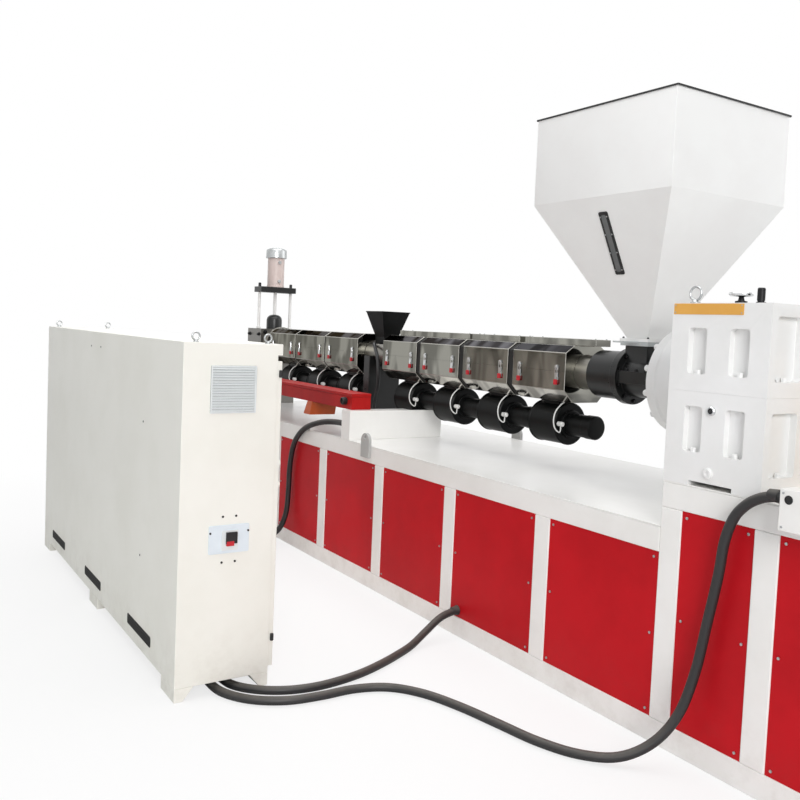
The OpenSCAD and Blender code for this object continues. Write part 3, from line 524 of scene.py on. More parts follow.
def put_plate(bm, outline, origin, u, v, depth, index=0):
    """Adds a plate: an outline in the directions u and v, with a depth along their cross product."""
    lift = u.cross(v) * depth
    foot = [bm.verts.new(origin + u * a + v * b) for a, b in outline]
    top = [bm.verts.new(vert.co + lift) for vert in foot]
    faces = [bm.faces.new(foot[::-1]), bm.faces.new(top)]
    for k in range(len(foot)):
        n = (k + 1) % len(foot)
        faces.append(bm.faces.new((foot[k], foot[n], top[n], top[k])))
    for face in faces:
        face.material_index = index


def put_tube(bm, points, radius_mm, sides=10, index=0, closed=False):
    """Adds a round tube along points, free of twist, with flat ends unless it is closed on itself."""
    points = [Vector(p) for p in points]
    count = len(points)
    side = across((points[1] - points[0]).normalized())[0]
    rings = []
    for i, point in enumerate(points):
        before = points[i - 1] if closed or i else points[0]
        after = points[(i + 1) % count] if closed or i < count - 1 else points[-1]
        axis = (after - before).normalized()
        side = (side - axis * side.dot(axis)).normalized()
        ring = circle(point, side, axis.cross(side), radius_mm * MM, sides)
        rings.append([bm.verts.new(place) for place in ring])
    pairs = list(zip(rings, rings[1:])) + ([(rings[-1], rings[0])] if closed else [])
    for near, far in pairs:
        for k in range(sides):
            n = (k + 1) % sides
            bm.faces.new((near[k], near[n], far[n], far[k])).material_index = index
    if not closed:
        bm.faces.new(rings[0][::-1]).material_index = index
        bm.faces.new(rings[-1]).material_index = index


def put_ring(bm, centre, u, v, radius, steps, bar_mm, sides, index=0):
    """Adds a ring of round bar in the directions u and v."""
    put_tube(bm, circle(centre, u, v, radius, steps), bar_mm, sides, index, closed=True)


def bars_between(outer, inner):
    """The four bars of a frame between two rectangles, each as its lowest and highest corners."""
    (a, b), (g, h) = outer
    (c, d), (e, f) = inner
    return ((a, b), (g, d)), ((a, f), (g, h)), ((a, d), (c, f)), ((e, d), (g, f))


def rounded_outline(width, height, radius, steps=4):
    """A rectangle about zero with round corners, as (a, b) pairs."""
    points = []
    for k, (sx, sy) in enumerate(((1, 1), (-1, 1), (-1, -1), (1, -1))):
        for s in range(steps + 1):
            t = math.radians(90 * k + 90 * s / steps)
            points.append((sx * (width / 2 - radius) + radius * math.cos(t),
                           sy * (height / 2 - radius) + radius * math.sin(t)))
    return points


# %% [markdown]
# ## The three cables
# Power reaches the machine through three thick rubber cables. A cable is stiff: it leaves its gland
# straight, lies along the floor in wide bends and climbs where it has to. A curve through a few chosen
# points gives that line, and its bevel gives the round sheath.

# %% Cables
CABLE_D = 0.038
MOTOR_CABLE = [
    (-0.760, -1.950, 0.030), (-0.620, -1.950, 0.030), (-0.480, -1.930, 0.020), (-0.350, -1.850, 0.020),
    (-0.270, -1.720, 0.020), (-0.246, -1.570, 0.020), (-0.240, -1.410, 0.020), (-0.185, -1.270, 0.020),
    (-0.060, -1.170, 0.020), (0.120, -1.105, 0.020), (0.320, -1.060, 0.020), (0.510, -1.018, 0.020),
    (0.665, -0.945, 0.020), (0.775, -0.848, 0.036), (0.850, -0.752, 0.102), (0.900, -0.682, 0.216),
    (0.935, -0.648, 0.380), (0.965, -0.638, 0.570), (1.000, -0.638, 0.758), (1.018, -0.640, 0.886),
    (1.051, -0.641, 0.980), (1.100, -0.642, 1.038), (1.161, -0.642, 1.074), (1.226, -0.642, 1.090)]
HEATER_CABLE = [
    (-0.760, -1.890, 0.030), (-0.650, -1.890, 0.030), (-0.530, -1.865, 0.020), (-0.430, -1.790, 0.020),
    (-0.365, -1.680, 0.020), (-0.340, -1.550, 0.020), (-0.350, -1.420, 0.020), (-0.380, -1.290, 0.020),
    (-0.430, -1.160, 0.020), (-0.490, -1.035, 0.020), (-0.550, -0.915, 0.026), (-0.598, -0.800, 0.062),
    (-0.620, -0.695, 0.112), (-0.623, -0.600, 0.135)]
CONTROL_CABLE = [
    (-2.780, -1.720, 0.030), (-2.780, -1.600, 0.030), (-2.785, -1.420, 0.020), (-2.792, -1.240, 0.020),
    (-2.790, -1.060, 0.020), (-2.772, -0.895, 0.022), (-2.734, -0.765, 0.044), (-2.688, -0.674, 0.116),
    (-2.664, -0.632, 0.240), (-2.662, -0.620, 0.410), (-2.656, -0.618, 0.580), (-2.608, -0.618, 0.735),
    (-2.510, -0.617, 0.835), (-2.390, -0.610, 0.898), (-2.250, -0.580, 0.940), (-2.110, -0.545, 0.955),
    (-1.990, -0.540, 0.955)]


def smooth_through(points, steps):
    """The smooth curve through points, with a number of steps between two of them."""
    points = [Vector(p) for p in points]
    last = len(points) - 1
    curve = []
    for i in range(last):
        a, b, c, d = points[max(i - 1, 0)], points[i], points[i + 1], points[min(i + 2, last)]
        for k in range(steps):
            t = k / steps
            curve.append(0.5 * (2 * b + (c - a) * t + (2 * a - 5 * b + 4 * c - d) * t ** 2
                                + (3 * b - a - 3 * c + d) * t ** 3))
    return curve + [points[last]]


def lay_cable(name, node, route):
    """A cable as a curve with a round bevel."""
    line = smooth_through(route, 6)
    curve = bpy.data.curves.new(name, "CURVE")
    curve.dimensions = "3D"
    curve.bevel_depth = CABLE_D / 2
    curve.bevel_resolution = 5
    curve.use_fill_caps = True
    spline = curve.splines.new("POLY")
    spline.points.add(len(line) - 1)
    for point, place in zip(spline.points, line):
        point.co = (*place, 1)
    spline.use_smooth = True
    curve.materials.append(rubber)
    cable = bpy.data.objects.new(name, curve)
    bpy.context.scene.collection.objects.link(cable)
    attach(cable, "root")
    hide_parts(node)


lay_cable("motor_cable_sheath", "motor_cable", MOTOR_CABLE)
lay_cable("heater_cable_sheath", "heater_cable", HEATER_CABLE)
lay_cable("control_cable_sheath", "control_cable", CONTROL_CABLE)

# %% [markdown]
# ## Geometry Nodes for what repeats
# A machine is full of repeats: screws, bolts, slats, fins, latches and leads. Each kind is one node
# tree with named inputs for its sizes. The points that a tree works on carry a direction called
# facing, so one tree serves every side of the machine. The result is made a plain mesh.

# %% Trees and how they are grown
def new_tree(name, inputs):
    """A Geometry Nodes tree with named inputs, and its group input node."""
    tree = bpy.data.node_groups.new(name, "GeometryNodeTree")
    tree.interface.new_socket("Geometry", in_out="INPUT", socket_type="NodeSocketGeometry")
    for label, kind in inputs:
        tree.interface.new_socket(label, in_out="INPUT", socket_type="NodeSocket" + kind)
    tree.interface.new_socket("Material", in_out="INPUT", socket_type="NodeSocketMaterial")
    tree.interface.new_socket("Geometry", in_out="OUTPUT", socket_type="NodeSocketGeometry")
    return tree, add(tree.nodes, "NodeGroupInput").outputs


def close_tree(tree, given, geometry):
    """Ends a tree: real geometry for the instances, the material, and the output."""
    real = add(tree.nodes, "GeometryNodeRealizeInstances", links={0: geometry})
    coated = add(tree.nodes, "GeometryNodeSetMaterial",
                 links={"Geometry": real.outputs[0], "Material": given["Material"]})
    add(tree.nodes, "NodeGroupOutput", links={0: coated.outputs[0]})
    return tree


def points_facing(name, places):
    """A mesh of loose points, each with the direction that it faces."""
    mesh = bpy.data.meshes.new(name)
    mesh.from_pydata([place for place, facing in places], [], [])
    attribute = mesh.attributes.new("facing", "FLOAT_VECTOR", "POINT")
    for item, (place, facing) in zip(attribute.data, places):
        item.vector = facing
    return mesh


FACET_DEGREES = 35


def grown(name, tree, mesh, slot, material, **sizes):
    """Runs a tree on a mesh and keeps the result as a piece. Input names have _ for a space."""
    obj = bpy.data.objects.new(name, mesh)
    bpy.context.scene.collection.objects.link(obj)
    modifier = obj.modifiers.new(tree.name, "NODES")
    modifier.node_group = tree
    sizes["Material"] = material
    for socket in tree.interface.items_tree:
        key = socket.name.replace(" ", "_")
        if socket.in_out == "INPUT" and key in sizes:
            modifier[socket.identifier] = sizes[key]
    made = finished(obj)
    made.data.polygons.foreach_set("use_smooth", [True] * len(made.data.polygons))
    made.data.set_sharp_from_angle(angle=math.radians(FACET_DEGREES))
    return made


# %% [markdown]
# ### Bolts and screws
# A bolt seen from outside is a washer, a head with six or more sides, and a chamfer on top. The tree
# builds that once and sets it on every point, turned to the way the point faces.

# %% Fastener tree
WASHER_SHARE = 1.45
WASHER_H = 2 * MM
# Without a washer a thin disc hides under the head
BARE_SHARE = 0.98
BARE_H = 0.5 * MM
CHAMFER_SHARE = 0.78
CHAMFER_DEPTH = 0.22


def facing_turn(nodes, axis, pivot="AUTO"):
    """A rotation that turns an axis to the way each point faces."""
    facing = add(nodes, "GeometryNodeInputNamedAttribute", {"Name": "facing"}, data_type="FLOAT_VECTOR")
    return add(nodes, "FunctionNodeAlignRotationToVector", links={"Vector": facing.outputs["Attribute"]},
               axis=axis, pivot_axis=pivot).outputs[0]


def lifted(nodes, geometry, height):
    """Geometry moved up by a height."""
    up = add(nodes, "ShaderNodeCombineXYZ", links={"Z": height})
    return add(nodes, "GeometryNodeTransform",
               links={"Geometry": geometry, "Translation": up.outputs[0]}).outputs[0]


def fastener_tree():
    """A washer, a head and its chamfer on every point."""
    tree, given = new_tree("fasteners", [
        ("Sides", "Int"), ("Head Radius", "Float"), ("Head Height", "Float"), ("Washer Radius", "Float"),
        ("Washer Height", "Float")])
    nodes = tree.nodes
    washer = add(nodes, "GeometryNodeMeshCylinder", {"Vertices": 18},
                 {"Radius": given["Washer Radius"], "Depth": given["Washer Height"]})
    head = add(nodes, "GeometryNodeMeshCylinder", links={
        "Vertices": given["Sides"], "Radius": given["Head Radius"], "Depth": given["Head Height"]})
    middle = add(nodes, "ShaderNodeMath", {1: 0.5}, {0: given["Head Height"]}, operation="MULTIPLY")
    small = add(nodes, "ShaderNodeMath", {1: CHAMFER_SHARE}, {0: given["Head Radius"]},
                operation="MULTIPLY")
    thin = add(nodes, "ShaderNodeMath", {1: CHAMFER_DEPTH}, {0: given["Head Height"]}, operation="MULTIPLY")
    chamfer = add(nodes, "GeometryNodeMeshCone", links={
        "Vertices": given["Sides"], "Radius Top": small.outputs[0], "Radius Bottom": given["Head Radius"],
        "Depth": thin.outputs[0]})
    bolt = add(nodes, "GeometryNodeJoinGeometry")
    for part in (washer.outputs["Mesh"], lifted(nodes, head.outputs["Mesh"], middle.outputs[0]),
                 lifted(nodes, chamfer.outputs["Mesh"], given["Head Height"])):
        tree.links.new(part, bolt.inputs[0])
    placed = add(nodes, "GeometryNodeInstanceOnPoints", links={
        "Points": given["Geometry"], "Instance": bolt.outputs[0], "Rotation": facing_turn(nodes, "Z")})
    return close_tree(tree, given, placed.outputs[0])


FASTENERS = fastener_tree()


def bolts(name, places, across_mm, material, slot, sides=6, washer=True, height=0.6):
    """Bolts or screws of one size at places, each a point and the direction that it faces."""
    radius = across_mm / 2 * MM
    return grown(name, FASTENERS, points_facing(name, places), slot, material, Sides=sides,
                 Head_Radius=radius, Head_Height=2 * radius * height,
                 Washer_Radius=radius * (WASHER_SHARE if washer else BARE_SHARE),
                 Washer_Height=WASHER_H if washer else BARE_H)


def screws(name, places, across_mm, material, slot, sides=14, height=0.4):
    """Bolts without washers, with round heads."""
    return bolts(name, places, across_mm, material, slot, sides, False, height)


# %% [markdown]
# ### Latches, slats, fins and leads
# A latch is modelled once and set on points. Slats stand in a row, fins stand in a ring, and a lead is
# a round wire along a line of points.

# %% Trees for the other repeats
def set_on_points_tree():
    """A modelled object on every point, its +Y turned to the way the point faces."""
    tree, given = new_tree("set_on_points", [("Pattern", "Object")])
    nodes = tree.nodes
    pattern = add(nodes, "GeometryNodeObjectInfo", links={"Object": given["Pattern"]})
    placed = add(nodes, "GeometryNodeInstanceOnPoints", links={
        "Points": given["Geometry"], "Instance": pattern.outputs["Geometry"],
        "Rotation": facing_turn(nodes, "Y", "Z")})
    return close_tree(tree, given, placed.outputs[0])


def slat_tree():
    """A row of tilted slats, one above the other."""
    tree, given = new_tree("slats", [
        ("Count", "Int"), ("Pitch", "Float"), ("Slat", "Vector"), ("Tilt", "Vector"), ("First", "Vector")])
    nodes = tree.nodes
    slat = add(nodes, "GeometryNodeMeshCube", links={"Size": given["Slat"]})
    tilted = add(nodes, "GeometryNodeTransform",
                 links={"Geometry": slat.outputs["Mesh"], "Rotation": given["Tilt"]})
    step = add(nodes, "ShaderNodeCombineXYZ", links={"Z": given["Pitch"]})
    row = add(nodes, "GeometryNodeMeshLine", links={
        "Count": given["Count"], "Start Location": given["First"], "Offset": step.outputs[0]})
    placed = add(nodes, "GeometryNodeInstanceOnPoints", links={
        "Points": row.outputs["Mesh"], "Instance": tilted.outputs[0]})
    return close_tree(tree, given, placed.outputs[0])


def fin_tree():
    """A ring of fins about the X direction."""
    tree, given = new_tree("fins", [
        ("Count", "Int"), ("Ring Radius", "Float"), ("Fin", "Vector"), ("Centre", "Vector")])
    nodes = tree.nodes
    fin = add(nodes, "GeometryNodeMeshCube", links={"Size": given["Fin"]})
    ring = add(nodes, "GeometryNodeMeshCircle",
               links={"Vertices": given["Count"], "Radius": given["Ring Radius"]})
    upright = add(nodes, "GeometryNodeTransform", {"Rotation": (0, math.pi / 2, 0)},
                  {"Geometry": ring.outputs["Mesh"]})
    outward = add(nodes, "FunctionNodeAlignRotationToVector",
                  links={"Vector": add(nodes, "GeometryNodeInputPosition").outputs[0]}, axis="Z",
                  pivot_axis="X")
    placed = add(nodes, "GeometryNodeInstanceOnPoints", links={
        "Points": upright.outputs[0], "Instance": fin.outputs["Mesh"], "Rotation": outward.outputs[0]})
    moved = add(nodes, "GeometryNodeTransform",
                links={"Geometry": placed.outputs[0], "Translation": given["Centre"]})
    return close_tree(tree, given, moved.outputs[0])


def lead_tree():
    """A round wire along every line of a mesh."""
    tree, given = new_tree("leads", [("Radius", "Float")])
    nodes = tree.nodes
    line = add(nodes, "GeometryNodeMeshToCurve", links={"Mesh": given["Geometry"]})
    round_wire = add(nodes, "GeometryNodeCurvePrimitiveCircle", {"Resolution": 8},
                     {"Radius": given["Radius"]})
    wire = add(nodes, "GeometryNodeCurveToMesh", {"Fill Caps": True},
               {"Curve": line.outputs[0], "Profile Curve": round_wire.outputs["Curve"]})
    return close_tree(tree, given, wire.outputs[0])


SET_ON_POINTS = set_on_points_tree()
SLATS = slat_tree()
FINS = fin_tree()
LEADS = lead_tree()


def leads(name, lines, radius_mm, material, slot):
    """Round wires along several lines of points."""
    mesh = bpy.data.meshes.new(name)
    points = [p for line in lines for p in line]
    starts = [sum(len(line) for line in lines[:k]) for k in range(len(lines))]
    edges = [(s + i, s + i + 1) for s, line in zip(starts, lines) for i in range(len(line) - 1)]
    mesh.from_pydata(points, edges, [])
    return grown(name, LEADS, mesh, slot, material, Radius=radius_mm * MM)


# %% [markdown]
# ## The welded bed
# The bed is welded from square tube with rounded corners, under a plate. Red sheet panels close the
# bays, and a few small screws near the edges hold each panel on the front and the back.

# %% Frame, plates and panels
for node, edge in (("frame_bottom_rails", 5), ("frame_top_rails", 5), ("frame_posts", 5),
                   ("frame_cross_members", 5), ("bed_plate", 2), ("drive_deck", 2)):
    softened(node, frame_enamel, edge, 3)
for node in ("front_panels", "back_panels", "end_panels"):
    softened(node, panel_coat, 1.2)
softened("lifting_lugs", lug_enamel, 2)

SCREW_INSET = 24 * MM


def panel_screws(node, facing):
    """Screw places near the corners and half way up the sides of every panel of a node."""
    places = []
    for low, high in solids(node):
        y = low.y if facing.y < 0 else high.y
        for x in (low.x + SCREW_INSET, high.x - SCREW_INSET):
            for z in (low.z + SCREW_INSET, (low.z + high.z) / 2, high.z - SCREW_INSET):
                places.append((Vector((x, y, z)), facing))
    return places


screws("panel_screws", panel_screws("front_panels", -Y) + panel_screws("back_panels", Y), 11, zinc,
       "panel_paint", height=0.35)

# %% [markdown]
# ## Gearbox
# The gearbox is a white iron casting. Its sides have pockets with round corners, where the casing
# bolts sit, and it is split at the height of the screw. Cutting the solid there, with a hair of a gap
# and with edges that stay sharp, gives the seam.

# %% Gearbox casting
GEAR_LOW, GEAR_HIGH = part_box("gearbox")
AXIS_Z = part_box("barrel")[0].z / 2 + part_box("barrel")[1].z / 2


def slice_of(node, z_low, z_high):
    """A bmesh of the part of a CAD node between two heights, closed where it is cut."""
    bm = solid_mesh(node)
    for height, normal in ((z_low, -Z), (z_high, Z)):
        everything = bm.verts[:] + bm.edges[:] + bm.faces[:]
        cut = bmesh.ops.bisect_plane(bm, geom=everything, plane_co=(0, 0, height), plane_no=normal,
                                     clear_outer=True)
        edges = [e for e in cut["geom_cut"] if isinstance(e, bmesh.types.BMEdge)]
        if edges:
            bmesh.ops.edgenet_fill(bm, edges=edges)
    return bm


def halves_of(node, lips, shape=None):
    """A bmesh of a CAD node in two halves that end at two lips. A function may shape each half."""
    low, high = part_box(node)
    halves = bmesh.new()
    for z_low, z_high in ((low.z, lips[0]), (lips[1], high.z)):
        half = slice_of(node, z_low, z_high)
        if shape:
            shape(half)
        mesh = bpy.data.meshes.new("half")
        half.to_mesh(mesh)
        half.free()
        halves.from_mesh(mesh)
    return halves


POCKET_DEPTHS = (0.02, 0.04)
POCKET_ROUND = 14 * MM


def round_pockets(bm):
    """Rounds the corners that run straight into the pockets of the front, the back and the end."""
    edges = []
    for edge in bm.edges:
        run = edge.verts[1].co - edge.verts[0].co
        inward = max(abs(run.x), abs(run.y)) / max(run.length, 1e-9) > 0.999
        if inward and POCKET_DEPTHS[0] < run.length < POCKET_DEPTHS[1] and edge.is_manifold:
            edges.append(edge)
    bmesh.ops.bevel(bm, geom=edges, offset=POCKET_ROUND, segments=4, profile=0.5, affect="EDGES")


GEAR_SEAM = 0.4 * MM
GEAR_LIPS = (AXIS_Z - GEAR_SEAM / 2, AXIS_Z + GEAR_SEAM / 2)
piece("gearbox_casting", halves_of("gearbox", GEAR_LIPS, round_pockets), [casting_enamel],
      5, 3, ["gearbox"], seams=GEAR_LIPS)

# %% Casing bolts
POCKET_FLOORS = (AXIS_Z - 230 * MM, AXIS_Z + 66 * MM)
END_POCKET_FLOORS = (AXIS_Z - 287 * MM, AXIS_Z + 57 * MM)
CASING_BOLT_INSET = 14 * MM
casing_bolts = []
for x in (GEAR_LOW.x + 124 * MM, GEAR_LOW.x + 308 * MM):
    for z in POCKET_FLOORS:
        for y in (GEAR_LOW.y + CASING_BOLT_INSET, GEAR_HIGH.y - CASING_BOLT_INSET):
            casing_bolts.append((Vector((x, y, z)), Z))
for side in (-1, 1):
    for row in (113 * MM, 295 * MM):
        for z in END_POCKET_FLOORS:
            place = Vector((GEAR_HIGH.x - CASING_BOLT_INSET, side * (GEAR_HIGH.y - row), z))
            casing_bolts.append((place, Z))
bolts("casing_bolts", casing_bolts, 22, casting_enamel, "machine_paint", washer=False)

# %% [markdown]
# ### Gearbox fittings
# On top stand a lifting eye at each side, a chromed hand wheel and a black breather. The front has an
# oil sight glass in a chromed ring, a painted drain plug and a blank yellow plate.

# %% Fittings
EYE_R = 31
EYE_COLLAR = [(0, 0), (0, 20), (5, 20), (7, 13), (15, 8), (15, 0)]


def put_eye_bolt(bm, low, high, bar_mm, index=0):
    """A lifting eye that fills a box: a collar, a shank and a ring that stands along the box."""
    centre = (low + high) / 2
    size = high - low
    radius = max(size.x, size.y) / 2
    share = radius / (EYE_R * MM)
    put_turned(bm, [(along * share, out * share) for along, out in EYE_COLLAR],
               Vector((centre.x, centre.y, low.z)), Z, 24, index)
    put_ring(bm, Vector((centre.x, centre.y, high.z - radius)), X if size.x > size.y else Y, Z,
             radius - bar_mm * MM, 28, bar_mm, 12, index)


fittings = bmesh.new()
for low, high in solids("gearbox_fittings"):
    if abs(high.x - low.x - 2 * EYE_R * MM) < 2 * MM and low.z > GEAR_HIGH.z - 10 * MM:
        put_eye_bolt(fittings, low, high, 5)
DIAL_X = GEAR_LOW.x + 208 * MM
TOP_Y = GEAR_LOW.y + 52 * MM
breather = Vector((GEAR_LOW.x + 347 * MM, TOP_Y, GEAR_HIGH.z))
put_turned(fittings, [(0, 0), (0, 17), (5, 17), (5, 12), (10, 12), (10, 14), (52, 14), (56, 11), (56, 0)],
           breather, Z, 20, 1)
wheel = Vector((GEAR_LOW.x + 265 * MM, TOP_Y, GEAR_HIGH.z))
put_turned(fittings, [(0, 0), (0, 22), (8, 22), (10, 12), (23, 9), (26, 15), (37, 15), (40, 10), (40, 0)],
           wheel, Z, 24, 1)
wheel_middle = wheel + Z * 33 * MM
put_ring(fittings, wheel_middle, X, Y, 38 * MM, 32, 7, 12, 2)
for turn in (0, 120, 240):
    put_tube(fittings, [wheel_middle, wheel_middle + spoke(X, Y, turn) * 36 * MM], 3.5, 8, 2)
sight = Vector((DIAL_X, GEAR_LOW.y, GEAR_LOW.z + 290 * MM))
put_turned(fittings, [(0, 0), (0, 17), (7, 17), (10, 14), (10, 11), (4, 10)], sight, -Y, 32, 2)
put_turned(fittings, [(3.5, 0), (4, 10.5), (5.5, 6), (6, 0)], sight, -Y, 32, 3)
drain = Vector((DIAL_X, GEAR_LOW.y, GEAR_LOW.z + 58 * MM))
put_turned(fittings, [(0, 0), (0, 20), (7, 20), (10, 16), (10, 8), (7, 8), (7, 0)], drain, -Y, 32, 4)
piece("gearbox_trim", fittings, [zinc, blackened, chrome, dark_glass, casting_enamel],
      replaces=["gearbox_fittings"])

plate = bmesh.new()
put_box(plate, (GEAR_LOW.x + 6 * MM, GEAR_LOW.y - 2 * MM, GEAR_HIGH.z - 44 * MM),
        (GEAR_LOW.x + 318 * MM, GEAR_LOW.y, GEAR_HIGH.z - 3 * MM))
piece("blank_maker_plate", plate, [plate_yellow], 0.6)
plate_rivets = [(Vector((x, GEAR_LOW.y - 2 * MM, z)), -Y)
                for x in (GEAR_LOW.x + 14 * MM, GEAR_LOW.x + 310 * MM)
                for z in (GEAR_HIGH.z - 37 * MM, GEAR_HIGH.z - 10 * MM)]
screws("plate_rivets", plate_rivets, 5, zinc, "fitting_steel", sides=12)

# %% [markdown]
# ## Screw line
# From the gearbox towards the die come the round thrust housing with its ring of bolts, the black feed
# throat, a black collar and the long barrel. Housing, collar and barrel are turned about the screw's
# axis, so each is drawn as a profile. The throat's solid keeps its form and gets soft edges.

# %% Thrust housing, throat and barrel
def ring_of(centre, axis, radius, count, facing, start=0):
    """Places on a bolt circle about an axis."""
    return [(place, facing) for place in circle(centre, *across(axis), radius, count, start)]


AXIS = Vector((0, 0, AXIS_Z))
house_low, house_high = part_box("thrust_housing")
HOUSE_R = (house_high.z - house_low.z) / 2 / MM
HOUSE_L = (house_high.x - house_low.x) / MM
housing = bmesh.new()
put_turned(housing, [(0, 0), (0, HOUSE_R - 5), (5, HOUSE_R), (52, HOUSE_R), (56, HOUSE_R - 4),
                     (64, HOUSE_R - 7), (HOUSE_L - 60, HOUSE_R - 7), (HOUSE_L - 52, HOUSE_R - 4),
                     (HOUSE_L - 48, HOUSE_R), (HOUSE_L - 3, HOUSE_R), (HOUSE_L, HOUSE_R - 3),
                     (HOUSE_L, 0)], AXIS + X * house_low.x, X, 96)
piece("thrust_housing_casting", housing, [casting_enamel], replaces=["thrust_housing"])
screws("thrust_housing_bolts", ring_of(AXIS + X * house_low.x, X, 218 * MM, 12, -X, 15), 30, casting_enamel,
       "machine_paint", sides=18, height=0.75)

softened("feed_throat", black_enamel, 3)
throat_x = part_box("feed_throat")[0].x
throat_bolts = ring_of(AXIS + X * (throat_x + 40 * MM), X, 121 * MM, 10, X, 18)
throat_bolts += [(Vector((throat_x + d * MM, s * 112 * MM, AXIS_Z + 30 * MM)), Z)
                 for d in (90, 150, 210, 270) for s in (-1, 1)]
bolts("throat_bolts", throat_bolts, 18, blackened, "throat_black")

bar_low, bar_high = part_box("barrel")
COLLAR_L = 179
BAR_L = (bar_high.x - bar_low.x) / MM - COLLAR_L
bar = bmesh.new()
put_turned(bar, [(0, 0), (0, 148), (2, 150), (38, 150), (40, 148), (40, 90), (BAR_L, 90), (BAR_L, 0)],
           AXIS + X * bar_low.x, X, 64, 0)
put_turned(bar, [(0, 0), (0, 119), (3, 122), (COLLAR_L - 3, 122), (COLLAR_L, 119), (COLLAR_L, 0)],
           AXIS + X * (bar_high.x - COLLAR_L * MM), X, 72, 1)
piece("barrel_and_collar", bar, [barrel_steel, black_enamel], replaces=["barrel"])
bolts("barrel_flange_bolts", ring_of(AXIS + X * (bar_low.x + 40 * MM), X, 125 * MM, 12, X), 24, blackened,
      "barrel_steel")
softened("barrel_support", black_enamel, 4)
softened("insulation_bands", insulation_and_slot_shade, 2)

# %% [markdown]
# ## Heater covers
# Seven covers of polished sheet close round the barrel's heaters. Each is two shells that meet at the
# height of the screw, so the cover is cut there. A real fold catches the light as a thin bright line,
# so the folds are rounded and get a paler steel of their own: a painted highlight. Two toggle latches
# on each side hold the shells: a wire bail hooks over a keeper and a lever with a red grip pulls it tight.

# %% Cover shells
COVER_SEAM = 0.8 * MM
COVER_LIPS = (AXIS_Z - COVER_SEAM / 2, AXIS_Z + COVER_SEAM / 2)
ZONES = range(1, 8)
COVERS = {i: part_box(f"heater_cover_{i}") for i in ZONES}
# The rounded folds of the shells and of the terminal covers get the paler steel: a painted highlight
for i in ZONES:
    node = f"heater_cover_{i}"
    piece(f"{node}_shells", halves_of(node, COVER_LIPS), [stainless, fold_painted_highlight], 3, 3,
          [node], seams=COVER_LIPS, edge_index=1)
piece("terminal_covers_finish", solid_mesh("terminal_covers"), [stainless, fold_painted_highlight],
      2, 2, ["terminal_covers"], edge_index=1)
print("covers:", len(COVERS))

# %% Toggle latches
steel_bm = bmesh.new()
put_box(steel_bm, (-0.010, 0, 0.006), (0.010, 0.002, 0.034))
put_box(steel_bm, (-0.008, 0.002, 0.020), (0.008, 0.010, 0.027))
put_box(steel_bm, (-0.011, 0, -0.064), (0.011, 0.002, -0.008))
put_box(steel_bm, (-0.008, 0.002, -0.050), (0.008, 0.008, -0.012))
put_tube(steel_bm, [(-0.0085, 0.006, -0.030), (-0.0085, 0.008, 0.022), (-0.005, 0.009, 0.030),
                    (0.005, 0.009, 0.030), (0.0085, 0.008, 0.022), (0.0085, 0.006, -0.030)], 1.9, 8)
grip_bm = bmesh.new()
put_plate(grip_bm, rounded_outline(0.021, 0.028, 0.005), Vector((0, 0.004, -0.057)), X, -Z, 0.009)


def pattern_object(name, bm):
    """A modelled object for a tree to set on points."""
    bmesh.ops.recalc_face_normals(bm, faces=bm.faces)
    mesh = bpy.data.meshes.new(name)
    bm.to_mesh(mesh)
    bm.free()
    pattern = bpy.data.objects.new(name, mesh)
    bpy.context.scene.collection.objects.link(pattern)
    return pattern


LATCH_INSET = 0.145
latch_places = []
for low, high in COVERS.values():
    for share in (LATCH_INSET, 1 - LATCH_INSET):
        x = low.x + share * (high.x - low.x)
        latch_places += [(Vector((x, low.y, AXIS_Z)), -Y), (Vector((x, high.y, AXIS_Z)), Y)]
for name, bm, material in (("latch_steel", steel_bm, chrome), ("latch_grips", grip_bm, red_plastic)):
    pattern = pattern_object(name + "_pattern", bm)
    grown(name, SET_ON_POINTS, points_facing(name, latch_places), "cover_stainless", material,
          Pattern=pattern)
    bpy.data.objects.remove(pattern)

cover_screws = []
for low, high in solids("terminal_covers"):
    for x in (low.x + 18 * MM, high.x - 18 * MM):
        for y in (low.y + 14 * MM, high.y - 14 * MM):
            cover_screws.append((Vector((x, y, high.z)), Z))
screws("terminal_cover_screws", cover_screws, 9, zinc, "cover_stainless")

# %% [markdown]
# ## Blowers
# A blower under each cover cools its zone. It is a black drum with rolled rims, a duct up to the cover
# and a small motor on its axis. Air enters through a wire guard on the far face. A white gland beside
# the motor holds its lead, which bends up to the cover.

